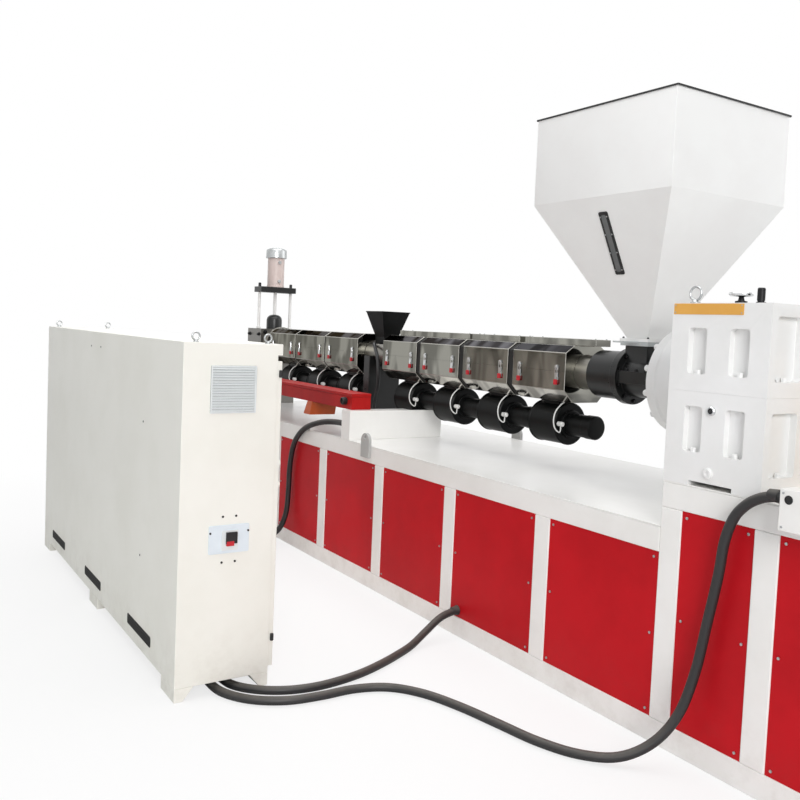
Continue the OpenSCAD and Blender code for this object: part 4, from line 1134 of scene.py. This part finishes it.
# %% Blowers
GUARD_BAR = 1.8
DUCT_X = 110 * MM
DUCT_HALF = (60 * MM, 45 * MM)
DUCT_RIM_HALF = (72 * MM, 57 * MM)
DUCT_RIM_H = 7 * MM
MOTOR_FACE = 220 * MM
LEAD_BEND = [(-0.070, 0.121), (-0.098, 0.104), (-0.128, 0.072), (-0.140, 0.030), (-0.132, -0.010),
             (-0.110, -0.034), (-0.090, -0.038), (-0.086, -0.006)]
blower_leads = []
gland_bm = bmesh.new()
duct_bolts = []
for i in ZONES:
    low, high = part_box(f"blower_{i}")
    drum_r = (high.y - low.y) / 2 / MM
    axis_z = low.z + drum_r * MM
    start = Vector((low.x, 0, axis_z))
    bm = bmesh.new()
    put_turned(bm, [(9, 0), (9, 74), (0, 78), (0, drum_r - 6), (4, drum_r), (13, drum_r), (15, drum_r - 3),
                    (205, drum_r - 3), (207, drum_r), (216, drum_r), (220, drum_r - 6), (220, 75),
                    (232, 75), (234, 72), (234, 60), (356, 60), (358, 63), (412, 63), (418, 58), (420, 44),
                    (420, 0)], start, X, 56)
    put_turned(bm, [(250, 60), (250, 63), (256, 63), (256, 60)], start, X, 40)
    guard = start + X * 3 * MM
    for radius in (26, 50, 70):
        put_ring(bm, guard, Y, Z, radius * MM, 36, GUARD_BAR, 6)
    for turn in (45, 135):
        out = spoke(Y, Z, turn) * 74 * MM
        put_tube(bm, [guard - out, guard + out], GUARD_BAR, 6)
    mid_x = low.x + DUCT_X
    put_box(bm, (mid_x - DUCT_HALF[0], -DUCT_HALF[1], axis_z + 0.09),
            (mid_x + DUCT_HALF[0], DUCT_HALF[1], high.z))
    put_box(bm, (mid_x - DUCT_RIM_HALF[0], -DUCT_RIM_HALF[1], high.z - DUCT_RIM_H),
            (mid_x + DUCT_RIM_HALF[0], DUCT_RIM_HALF[1], high.z - 0.5 * MM))
    piece(f"blower_{i}_housing", bm, [blower_enamel], 1.2, 2, [f"blower_{i}"])
    duct_bolts += [(Vector((mid_x + sx * 66 * MM, sy * 51 * MM, high.z - DUCT_RIM_H)), -Z)
                   for sx in (-1, 1) for sy in (-1, 1)]
    face = Vector((low.x + MOTOR_FACE, -0.087, axis_z + 0.004))
    put_turned(gland_bm, [(0, 0), (0, 13), (12, 13), (12, 11), (16, 11), (18, 13), (34, 13), (38, 8),
                          (38, 0)], face, X, 12)
    bend = [Vector((face.x + 18 * MM, y, axis_z + z)) for y, z in LEAD_BEND]
    blower_leads.append(smooth_through(bend, 5))
piece("blower_glands", gland_bm, [white_nylon])
leads("blower_leads", blower_leads, 3.6, white_nylon, "blower_black")
bolts("duct_bolts", duct_bolts, 7, blackened, "blower_black", washer=False)

# %% [markdown]
# ## Vent funnel and hopper
# The funnel over the vent is folded from black sheet with a rolled rim. The hopper is white sheet: a
# bin on a cone, with a black edge strip along its rim and a narrow sight glass down the slope. A flange
# under the cone sits on the grey slide gate.

# %% Vent funnel
softened("vent_funnel", blower_enamel, 1.2)
fun_low, fun_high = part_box("vent_funnel")
rim = bmesh.new()
rim_path = [Vector((x, y, fun_high.z)) for x, y in ((fun_low.x, fun_low.y), (fun_high.x, fun_low.y),
                                                    (fun_high.x, fun_high.y), (fun_low.x, fun_high.y))]
for a, b in zip(rim_path, rim_path[1:] + rim_path[:1]):
    put_tube(rim, [a, b], 4, 10)
piece("funnel_rim", rim, [blower_enamel])
hose = [(-2.440, -0.084, 1.478), (-2.355, -0.128, 1.452), (-2.278, -0.150, 1.380), (-2.246, -0.158, 1.280),
        (-2.262, -0.150, 1.180), (-2.320, -0.132, 1.090), (-2.352, -0.122, 0.980), (-2.360, -0.118, 0.872)]
leads("vent_hose", [smooth_through(hose, 6)], 13, black_nylon, "throat_black")

# %% Hopper
# The bin is open, so its narrow rim is split into straight lengths that can't close over the opening
softened("hopper_bin", hopper_coat, 1.5, split_rims=True)
softened("hopper_cone", hopper_coat, 1.2)
softened("hopper_gate", motor_enamel, 2)
bin_low, bin_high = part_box("hopper_bin")
STRIP = Vector((3 * MM, 3 * MM))
trim = bmesh.new()
for low, high in bars_between((bin_low.xy - STRIP, bin_high.xy + STRIP), (bin_low.xy, bin_high.xy)):
    put_box(trim, (*low, bin_high.z - 7 * MM), (*high, bin_high.z + 1 * MM))
piece("bin_edge_strip", trim, [black_nylon], 0.8)

cone_low, cone_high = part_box("hopper_cone")
FLANGE_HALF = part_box("hopper_gate")[1].y + 3 * MM
FLANGE_INNER = 66 * MM
FLANGE_TOP = cone_low.z + 1 * MM
HOPPER_X = (cone_low.x + cone_high.x) / 2
hopper_foot = Vector((HOPPER_X, 0))
flange = bmesh.new()
flange_corners = [(hopper_foot - Vector((half, half)), hopper_foot + Vector((half, half)))
                  for half in (FLANGE_HALF, FLANGE_INNER)]
for low, high in bars_between(*flange_corners):
    put_box(flange, (*low, cone_low.z - 14 * MM), (*high, FLANGE_TOP))
piece("cone_flange", flange, [hopper_coat], 1)
flange_bolts = [(Vector((HOPPER_X + x * 78 * MM, y * 78 * MM, FLANGE_TOP)), Z)
                for x in (-1, 1) for y in (-1, 1)]
bolts("cone_flange_bolts", flange_bolts, 10, blackened, "fitting_steel")

slope_top = Vector((0.037, -0.355, 2.171))
slope_foot = Vector((0.048, -0.220, 1.904))
up_slope = Vector((0, slope_top.y - slope_foot.y, slope_top.z - slope_foot.z)).normalized()
glass_length = (slope_top - slope_foot).length
glass_middle = (slope_top + slope_foot) / 2
glass = bmesh.new()
out = X.cross(up_slope)
put_plate(glass, rounded_outline(0.056, glass_length + 0.012, 0.008), glass_middle - out * 0.003, X,
          up_slope, 0.007, 0)
put_plate(glass, rounded_outline(0.030, glass_length - 0.018, 0.010), glass_middle + out * 0.004, X,
          up_slope, 0.0015, 1)
piece("hopper_sight_glass", glass, [black_nylon, clouded_glass], 0.8)
glass_screws = [(glass_middle + out * 0.004 + X * s * 0.021 + up_slope * t * glass_length, out)
                for s in (-1, 1) for t in (-0.44, -0.15, 0.15, 0.44)]
screws("sight_glass_screws", glass_screws, 7, zinc, "hopper_paint", sides=12)

# %% [markdown]
# ## Wiring on the bed
# A white sheet box stands across the bed and carries red trunking towards the die. The trunking has a
# lid with a folded edge, a round black plug in its side and an orange outlet box below it.

# %% Terminal box and trunking
softened("terminal_box", frame_enamel, 2.5)
softened("trunking_foot", trunking_coat, 1.5)
softened("outlet_box", outlet_coat, 2)
trunk_low, trunk_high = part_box("cable_trunking")
LID_DEPTH = 20 * MM
trunk = bmesh.new()
put_box(trunk, trunk_low + Vector((0, 2 * MM, 0)), trunk_high - Vector((0, 2 * MM, LID_DEPTH + 1.5 * MM)))
put_box(trunk, (trunk_low.x, trunk_low.y, trunk_high.z - LID_DEPTH), trunk_high)
piece("trunking_and_lid", trunk, [trunking_coat], 1.5, 2, ["cable_trunking"])
plug = bmesh.new()
put_turned(plug, [(0, 0), (0, 25), (28, 25), (32, 22), (32, 17), (24, 16), (24, 0)],
           Vector((trunk_high.x - 81 * MM, trunk_low.y + 2 * MM, trunk_low.z + 52 * MM)), -Y, 32)
piece("trunking_plug", plug, [black_nylon])

# %% [markdown]
# ## Screen changer
# At the die end a hydraulic cylinder pushes the screens through a steel body. Two white tie rods carry
# a thick black yoke with dark nuts, and on it stands the pale cylinder, with a steel cap on its top. Its
# piston rod runs down between them into a black guide.

# %% Changer body, rods and cylinder
softened("screen_changer", changer_steel, 4)
softened("changer_plate", black_enamel, 3)
nut_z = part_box("changer_plate")[1].z
PISTON_R = 15
GUIDE_H = 130
rods = bmesh.new()
nuts = []
for low, high in solids("changer_rods"):
    middle = (low + high) / 2
    radius = (high.x - low.x) / 2 / MM
    length = (high.z - low.z) / MM
    foot = Vector((middle.x, middle.y, low.z))
    guided = radius > 30
    rod_r = PISTON_R if guided else radius
    put_turned(rods, [(0, 0), (0, rod_r), (length, rod_r), (length, 0)], foot, Z, 32)
    if guided:
        put_turned(rods, [(0, rod_r), (0, radius), (GUIDE_H - 50, radius), (GUIDE_H - 32, radius - 4),
                          (GUIDE_H - 16, radius - 14), (GUIDE_H - 5, radius - 28), (GUIDE_H, radius - 44),
                          (GUIDE_H, rod_r)], foot, Z, 48, 1)
    else:
        put_turned(rods, [(2, rod_r), (2, rod_r + 9), (16, rod_r + 9), (18, rod_r)], foot, Z, 6)
        nuts.append((Vector((middle.x, middle.y, nut_z)), Z))
piece("changer_tie_rods", rods, [frame_enamel, black_enamel], 0.8, 2, ["changer_rods"])
bolts("tie_rod_nuts", nuts, 26, blackened, "throat_black", washer=False, height=1.1)

ram_low, ram_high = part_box("changer_cylinder")
ram_foot = Vector(((ram_low.x + ram_high.x) / 2, 0, ram_low.z))
RAM_L = (ram_high.z - ram_low.z) / MM
RAM_R = 75
CAP_R = (ram_high.x - ram_low.x) / 2 / MM
CAP_FOOT = RAM_L - 100
ram = bmesh.new()
put_turned(ram, [(0, 0), (0, 79), (12, 79), (14, RAM_R), (CAP_FOOT + 1, RAM_R), (CAP_FOOT + 1, 0)],
           ram_foot, Z, 48, 0)
put_turned(ram, [(CAP_FOOT, 0), (CAP_FOOT, CAP_R - 3), (CAP_FOOT + 3, CAP_R), (RAM_L - 30, CAP_R),
                 (RAM_L - 22, CAP_R - 4), (RAM_L - 10, CAP_R - 18), (RAM_L - 3, CAP_R - 42),
                 (RAM_L, CAP_R - 70), (RAM_L, 0)], ram_foot, Z, 48, 1)
for height in (52, CAP_FOOT - 40):
    put_turned(ram, [(0, 0), (0, 17), (12, 17), (14, 14), (18, 14), (18, 0)],
               ram_foot + Z * height * MM + X * 0.072, X, 6, 1)
piece("changer_ram", ram, [ram_enamel, zinc], replaces=["changer_cylinder"])

inner_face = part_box("screen_changer")[1].x
body_bolts = [(Vector((inner_face, y, z)), X)
              for y in (-0.150, 0, 0.150) for z in (AXIS_Z - 0.140, AXIS_Z + 0.100)]
body_bolts += [(Vector((ram_foot.x + sx * 0.105, sy * 0.190, z)), Y * sy)
               for sx in (-1, 1) for sy in (-1, 1) for z in (AXIS_Z - 0.130, AXIS_Z + 0.080)]
bolts("changer_body_bolts", body_bolts, 26, blackened, "changer_steel")

# %% [markdown]
# ## Drive
# The main motor is a ribbed casting: a ring of cooling fins between two end bells, a fan cowl with a
# grille at its far end, and a connection box on top. A yellow guard covers the coupling.

# %% Motor
mot_low, mot_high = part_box("main_motor")
guard_low, guard_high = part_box("coupling_guard")
BELL = 60
BODY = 860
COWL = 230
BODY_R = 290
CORE_R = 256
COWL_R = 300
BELL_R = 240
FOOT_Y = 0.230
FOOT_H = 0.030
drive = AXIS + X * mot_low.x
motor = bmesh.new()
put_turned(motor, [(0, 0), (0, 90), (-0.1, 92), (6, 94), (14, BELL_R - 30), (20, BELL_R - 6), (28, BELL_R),
                   (BELL, BELL_R), (BELL, CORE_R), (BODY, CORE_R)], drive, X, 64)
put_turned(motor, [(BELL, BODY_R - 40), (BELL, BODY_R - 4), (BELL + 4, BODY_R), (BELL + 34, BODY_R),
                   (BELL + 38, CORE_R)], drive, X, 64)
put_turned(motor, [(BODY - 38, CORE_R), (BODY - 34, BODY_R), (BODY - 2, BODY_R), (BODY, COWL_R - 3),
                   (BODY + 4, COWL_R), (BODY + COWL - 40, COWL_R), (BODY + COWL - 12, COWL_R - 16),
                   (BODY + COWL - 4, COWL_R - 40), (BODY + COWL - 4, 0)], drive, X, 64)
feet_z = mot_low.z
for y in (-FOOT_Y, FOOT_Y):
    put_box(motor, (mot_low.x + 0.120, y - 0.060, feet_z), (mot_low.x + 0.800, y + 0.060, feet_z + FOOT_H))
    for x in (0.130, 0.420, 0.710):
        put_box(motor, (mot_low.x + x, y - 0.045, feet_z + 0.02),
                (mot_low.x + x + 0.080, y + 0.045, AXIS_Z - 0.13))
piece("motor_casting", motor, [motor_enamel], 3, 2, ["main_motor"])
grown("motor_fins", FINS, bpy.data.meshes.new("motor_fins"), "motor_paint", motor_enamel, Count=56,
      Ring_Radius=(BODY_R - 18) * MM, Fin=((BODY - BELL - 70) * MM, 5 * MM, 36 * MM),
      Centre=drive + X * (BELL + BODY) / 2 * MM)
grille_rings = bmesh.new()
cowl_face = drive + X * (BODY + COWL - 3) * MM
for radius in range(40, 260, 24):
    put_ring(grille_rings, cowl_face, Y, Z, radius * MM, 48, 3, 6)
for turn in range(0, 180, 30):
    out = spoke(Y, Z, turn) * 258 * MM
    put_tube(grille_rings, [cowl_face - out, cowl_face + out], 3, 6)
piece("cowl_guard", grille_rings, [blackened])

# %% Motor box, guard and junction box
BOX_MID = drive + X * (BODY / 2) * MM
LID_TOP = mot_high.z - AXIS_Z
crown = bmesh.new()
for foot, top in ((0.24, LID_TOP - 0.030), (LID_TOP - 0.028, LID_TOP)):
    put_box(crown, BOX_MID + Vector((-0.150, -0.130, foot)), BOX_MID + Vector((0.150, 0.130, top)))
piece("motor_connection_box", crown, [motor_enamel], 4, 3)
crown_bolts = [(BOX_MID + Vector((sx * 0.132, sy * 0.112, LID_TOP)), Z) for sx in (-1, 1) for sy in (-1, 1)]
foot_bolts = [(Vector((mot_low.x + x, s * (FOOT_Y + 0.048), feet_z + FOOT_H)), Z)
              for x in (0.240, 0.500, 0.785) for s in (-1, 1)]
cowl_bolts = [(place, (place - AXIS - X * place.x).normalized())
              for place, facing in ring_of(drive + X * (BODY + 60) * MM, X, COWL_R * MM, 8, X, 22)]
bolts("motor_bolts", crown_bolts + foot_bolts, 18, zinc, "motor_paint")
screws("cowl_screws", cowl_bolts, 12, zinc, "motor_paint")
softened("coupling_guard", guard_enamel, 3, 3)
guard_bolts = [(Vector((guard_low.x + x, s * (guard_high.y + 0.0002), guard_low.z + 0.035)), Y * s)
               for x in (0.040, 0.140, 0.240) for s in (-1, 1)]
bolts("guard_bolts", guard_bolts, 13, zinc, "guard_paint")

jun_low, jun_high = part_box("motor_junction_box")
softened("motor_junction_box", frame_enamel, 3)
knock_out = bmesh.new()
put_turned(knock_out, [(0, 0), (0, 15), (1.5, 15), (2.5, 13), (2.5, 10), (1, 9.5), (1, 0)],
           Vector((jun_low.x + 34 * MM, jun_low.y, jun_high.z - 34 * MM)), -Y, 28)
piece("junction_box_plug", knock_out, [black_nylon])
jun_screws = [(Vector((x, jun_low.y, z)), -Y) for x in (jun_low.x + 14 * MM, jun_high.x - 14 * MM)
              for z in (jun_low.z + 14 * MM, jun_high.z - 14 * MM)]
screws("junction_box_screws", jun_screws, 8, zinc, "machine_paint", height=0.35)

# %% [markdown]
# ### Glands
# Where a cable enters a box it passes a gland: a locknut, a six-sided body, a cap that is screwed on,
# and a tapered rubber neck that spreads the bend.

# %% Glands and entries
NECK_R = CABLE_D / 2 / MM
GLAND = [(0, 0), (0, 26), (6, 26), (6, 24), (9, 24)]
CAP = [(9, 22), (11, 25), (26, 25), (30, 22)]
NECK = [(29, 23.5), (38, 23), (70, NECK_R + 1.2), (72, NECK_R - 0.5)]
GROMMET = [(-13, 0), (-13, 26), (-9, 26), (-4, 24), (0, 22.5), (22, NECK_R + 1), (24, NECK_R - 0.5)]
ENTRY = [(0, 0), (0, 26), (6, 26), (6, 24), (20, 24), (24, 22), (54, NECK_R + 1.2), (56, NECK_R - 0.5)]
glands = bmesh.new()
for route_end in (MOTOR_CABLE[-1], CONTROL_CABLE[-1]):
    seat = Vector(route_end) + X * 30 * MM
    for profile, sides, index in ((GLAND, 6, 0), (CAP, 12, 0), (NECK, 24, 1)):
        put_turned(glands, profile, seat, -X, sides, index)
put_turned(glands, GROMMET, Vector(HEATER_CABLE[-1]), -Y, 28, 1)
for start, facing in ((MOTOR_CABLE[0], X), (HEATER_CABLE[0], X), (CONTROL_CABLE[0], Y)):
    put_turned(glands, ENTRY, Vector(start), facing, 24, 1)
piece("cable_gland_set", glands, [black_nylon, rubber], replaces=["cable_glands"])

# %% [markdown]
# ## Power cabinet
# The cabinet is a row of sheet steel bays under one roof. The end that shows has a louvred filter grille
# and a plate with the main breaker. Slots low on the long side let cooling air in, and black hinges
# hold the doors, which face the machine.

# %% Body, roof and doors
# The roof is welded flush to the body, so no seam shows between the two
ROOF_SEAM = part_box("cabinet_roof")[0].z
for node in ("cabinet_body", "cabinet_roof"):
    softened(node, cabinet_coat, 3, 3, seams=(ROOF_SEAM,))
softened("cabinet_doors", cabinet_coat, 3, 3)
softened("cabinet_feet", cabinet_coat, 2)
cab_low, cab_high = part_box("cabinet_body")

AIR_SLOTS = ((-3.058, -2.674), (-2.127, -1.756), (-1.223, -0.841))
SLOT_FOOT = 118 * MM
SLOT_H = 50 * MM
# A dark plate in each slot is painted shade: it stands for the shade inside the opening, and the slats are
# as dark
slot_shade_bm = bmesh.new()
for x_low, x_high in AIR_SLOTS:
    middle = Vector(((x_low + x_high) / 2, cab_low.y + 1 * MM, SLOT_FOOT + SLOT_H / 2))
    put_plate(slot_shade_bm, rounded_outline(x_high - x_low, SLOT_H, 12 * MM), middle, X, Z, 2.2 * MM)
piece("cabinet_air_slots", slot_shade_bm, [insulation_and_slot_shade])
for k, (x_low, x_high) in enumerate(AIR_SLOTS):
    first = Vector(((x_low + x_high) / 2, cab_low.y - 1.5 * MM, SLOT_FOOT + 8 * MM))
    grown(f"air_slot_slats_{k + 1}", SLATS, bpy.data.meshes.new("slats"), "cabinet_paint", insulation_and_slot_shade,
          Count=4, Pitch=11.3 * MM, Slat=(x_high - x_low - 20 * MM, 5 * MM, 1.6 * MM), Tilt=(0.5, 0, 0),
          First=first)

# %% Grille
SLAT_COUNT = 17
BORDER = Vector((6 * MM, 6 * MM))
gri_low, gri_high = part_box("cabinet_grille")
grille = bmesh.new()
# A dark plate behind the slats is painted shade, for the shade inside the cabinet
put_box(grille, gri_low, (gri_low.x + 1 * MM, gri_high.y, gri_high.z), 1)
for low, high in bars_between((gri_low.yz, gri_high.yz), (gri_low.yz + BORDER, gri_high.yz - BORDER)):
    put_box(grille, (gri_low.x, *low), (gri_high.x, *high))
piece("grille_frame", grille, [grille_plastic, insulation_and_slot_shade], 1.2, 2, ["cabinet_grille"])
inside = gri_high.z - gri_low.z - 2 * BORDER.y
pitch = inside / SLAT_COUNT
grown("grille_slats", SLATS, bpy.data.meshes.new("slats"), "grille_plastic", grille_plastic,
      Count=SLAT_COUNT, Pitch=pitch, Slat=(11.2 * MM, inside, 1.6 * MM), Tilt=(0, 0.95, 0),
      First=Vector((gri_low.x + 4.5 * MM, (gri_low.y + gri_high.y) / 2, gri_low.z + BORDER.y + pitch / 2)))

# %% Breaker plate
PLATE_T = 6 * MM
swi_low, swi_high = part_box("cabinet_switch")
plate_y = (swi_low.y + swi_high.y) / 2
plate_z = (swi_low.z + swi_high.z) / 2
face_x = swi_low.x + PLATE_T
switch = bmesh.new()
put_plate(switch, rounded_outline(swi_high.y - swi_low.y, swi_high.z - swi_low.z, 6 * MM),
          Vector((swi_low.x, plate_y, plate_z)), Y, Z, PLATE_T, 0)
# The frame round the breaker, its black body and its red handle, in mm from the plate's middle
for low, high, depth, index in (((-34, -48), (39, 37), 4, 3), ((-16, -19), (33, 30), 13, 1),
                                ((-15, -28), (18, -8), 15, 2)):
    put_box(switch, (face_x - 1 * MM, plate_y + low[0] * MM, plate_z + low[1] * MM),
            (face_x + depth * MM, plate_y + high[0] * MM, plate_z + high[1] * MM), index)
piece("breaker_and_plate", switch, [switch_plastic, black_nylon, red_plastic, grille_plastic],
      1.2, 2, ["cabinet_switch"])
plate_screws = [(Vector((face_x, plate_y + s * 84 * MM, plate_z + 30 * MM)), X) for s in (-1, 1)]
screws("breaker_plate_screws", plate_screws, 9, black_nylon, "switch_plate", height=0.3)

# %% Plugs in unused holes
plug_places = [(Vector((x, cab_low.y, z)), -Y) for x, z in
               ((-1.040, 1.118), (-1.040, 0.494), (-2.086, 1.425), (-1.871, 1.427))]
plug_places += [(Vector((cab_high.x, y, z)), X) for y in (-1.939, -1.880) for z in (0.771, 0.575)]
screws("cabinet_plugs", plug_places, 10, blackened, "cabinet_paint", sides=16, height=0.15)

# %% Roof eyes, hinges and door handles
roof_eyes = bmesh.new()
for low, high in solids("cabinet_eye_bolts"):
    put_eye_bolt(roof_eyes, low, high, 4)
piece("cabinet_lifting_eyes", roof_eyes, [zinc], replaces=["cabinet_eye_bolts"])
hinges = bmesh.new()
handles = bmesh.new()
HINGE_HEIGHTS = (214 * MM, 1378 * MM)
for z in (0.891, 0.984):
    put_turned(handles, [(-1, 0), (-1, 14), (8, 14), (11, 10), (11, 0)],
               Vector((cab_high.x - 0.022, cab_high.y + 0.022, z)), Y, 24, 2)
for k, (low, high) in enumerate(solids("cabinet_doors")):
    edge_x = high.x if k % 2 else low.x
    for z in HINGE_HEIGHTS:
        side = Vector((cab_high.x, high.y - 0.008, z)) if k == 3 else Vector((edge_x, high.y, z))
        put_turned(hinges, [(-16, 0), (-16, 6), (-14, 8), (14, 8), (16, 6), (16, 0)], side, Z, 16)
    grip_x = low.x + 0.055 if k % 2 else high.x - 0.055
    middle = Vector((grip_x, high.y, (low.z + high.z) / 2))
    put_plate(handles, rounded_outline(0.034, 0.150, 0.010), middle, -X, Z, 0.004, 0)
    put_box(handles, middle + Vector((-0.010, 0.003, -0.060)), middle + Vector((0.010, 0.014, 0.060)), 0)
    put_turned(handles, [(3, 0), (3, 9), (7, 9), (8, 7), (8, 0)], middle - Z * 0.064, Y, 20, 1)
piece("door_hinges", hinges, [black_nylon], 0.8)
piece("door_handles", handles, [black_nylon, zinc, cabinet_coat], 1.5)

# %% [markdown]
# ## Floor and light
# The picture is taken in plain soft light. A large lamp stands on the motor's side, where the faces
# are brightest, another hangs above, and three weaker ones fill from the front, the die's side and the
# back. The sky lights the rest, and is white to the camera and in reflections. The floor is pale, and
# shows the camera most of its own white, so that only a faint shadow is left.

# %% Floor
FLOOR_HALF = 14
floor_bm = bmesh.new()
bmesh.ops.create_grid(floor_bm, x_segments=1, y_segments=1, size=FLOOR_HALF,
                      matrix=Matrix.Translation((-1, -0.5, -0.0005)))
floor_mesh = bpy.data.meshes.new("floor")
floor_bm.to_mesh(floor_mesh)
floor_bm.free()
floor = bpy.data.objects.new("floor", floor_mesh)
bpy.context.scene.collection.objects.link(floor)

floor_paint = bpy.data.materials.new("pale_floor")
floor_paint.use_nodes = True
nodes = floor_paint.node_tree.nodes
nodes.clear()
plain = add(nodes, "ShaderNodeBsdfDiffuse", {"Color": linear("#f2f2f1")})
white = add(nodes, "ShaderNodeEmission", {"Color": (1, 1, 1, 1), "Strength": 1.0})
place = add(nodes, "ShaderNodeTexCoord").outputs["Object"]
away = add(nodes, "ShaderNodeVectorMath", links={0: place}, operation="LENGTH")
white_share = add(nodes, "ShaderNodeMapRange",
                  {"From Min": 3.0, "From Max": 6.5, "To Min": 0.72, "To Max": 1.0},
                  {"Value": away.outputs["Value"]})
camera_ray = add(nodes, "ShaderNodeLightPath").outputs["Is Camera Ray"]
to_camera = add(nodes, "ShaderNodeMath", links={0: white_share.outputs["Result"], 1: camera_ray},
                operation="MULTIPLY")
seen = add(nodes, "ShaderNodeMixShader", links={
    0: to_camera.outputs["Value"], 1: plain.outputs["BSDF"], 2: white.outputs["Emission"]})
add(nodes, "ShaderNodeOutputMaterial", links={"Surface": seen.outputs["Shader"]})
floor_mesh.materials.append(floor_paint)

# %% Sky
world = bpy.data.worlds.new("studio")
bpy.context.scene.world = world
world.use_nodes = True
nodes = world.node_tree.nodes
nodes.clear()
path = add(nodes, "ShaderNodeLightPath")
looked_at = path.outputs["Is Camera Ray"]
for ray in ("Is Glossy Ray", "Is Transmission Ray"):
    looked_at = add(nodes, "ShaderNodeMath", links={0: looked_at, 1: path.outputs[ray]},
                    operation="MAXIMUM").outputs["Value"]
SKY_LEVEL = 0.30
soft_sky = add(nodes, "ShaderNodeBackground", {"Color": linear("#f6f8ff"), "Strength": SKY_LEVEL})
white_sky = add(nodes, "ShaderNodeBackground", {"Color": (1, 1, 1, 1), "Strength": 1.0})
sky = add(nodes, "ShaderNodeMixShader", links={
    0: looked_at, 1: soft_sky.outputs["Background"], 2: white_sky.outputs["Background"]})
add(nodes, "ShaderNodeOutputWorld", links={"Surface": sky.outputs["Shader"]})

# %% Lamps
def soft_lamp(name, place, target, size, watts):
    """A square area lamp that looks at a target."""
    light = bpy.data.lights.new(name, "AREA")
    light.size = size
    light.energy = watts
    lamp = bpy.data.objects.new(name, light)
    bpy.context.scene.collection.objects.link(lamp)
    lamp.location = place
    lamp.rotation_euler = (Vector(target) - Vector(place)).to_track_quat("-Z", "Y").to_euler()
    return lamp


soft_lamp("motor_side_lamp", (11.0, -6.4, 5.6), (-0.5, -0.6, 0.9), 5, 960)
soft_lamp("roof_lamp", (-1.0, -0.6, 7.5), (-1.0, -0.6, 0), 8, 420)
soft_lamp("front_lamp", (-0.5, -9.0, 4.5), (-1.2, 0, 0.8), 6, 30)
soft_lamp("die_side_lamp", (-9.5, 2.0, 5.0), (-2.5, 0, 0.9), 5, 90)
soft_lamp("back_lamp", (0.0, 8.0, 4.5), (-1.0, 0, 0.9), 5, 120)
bpy.context.scene.view_settings.view_transform = "Standard"
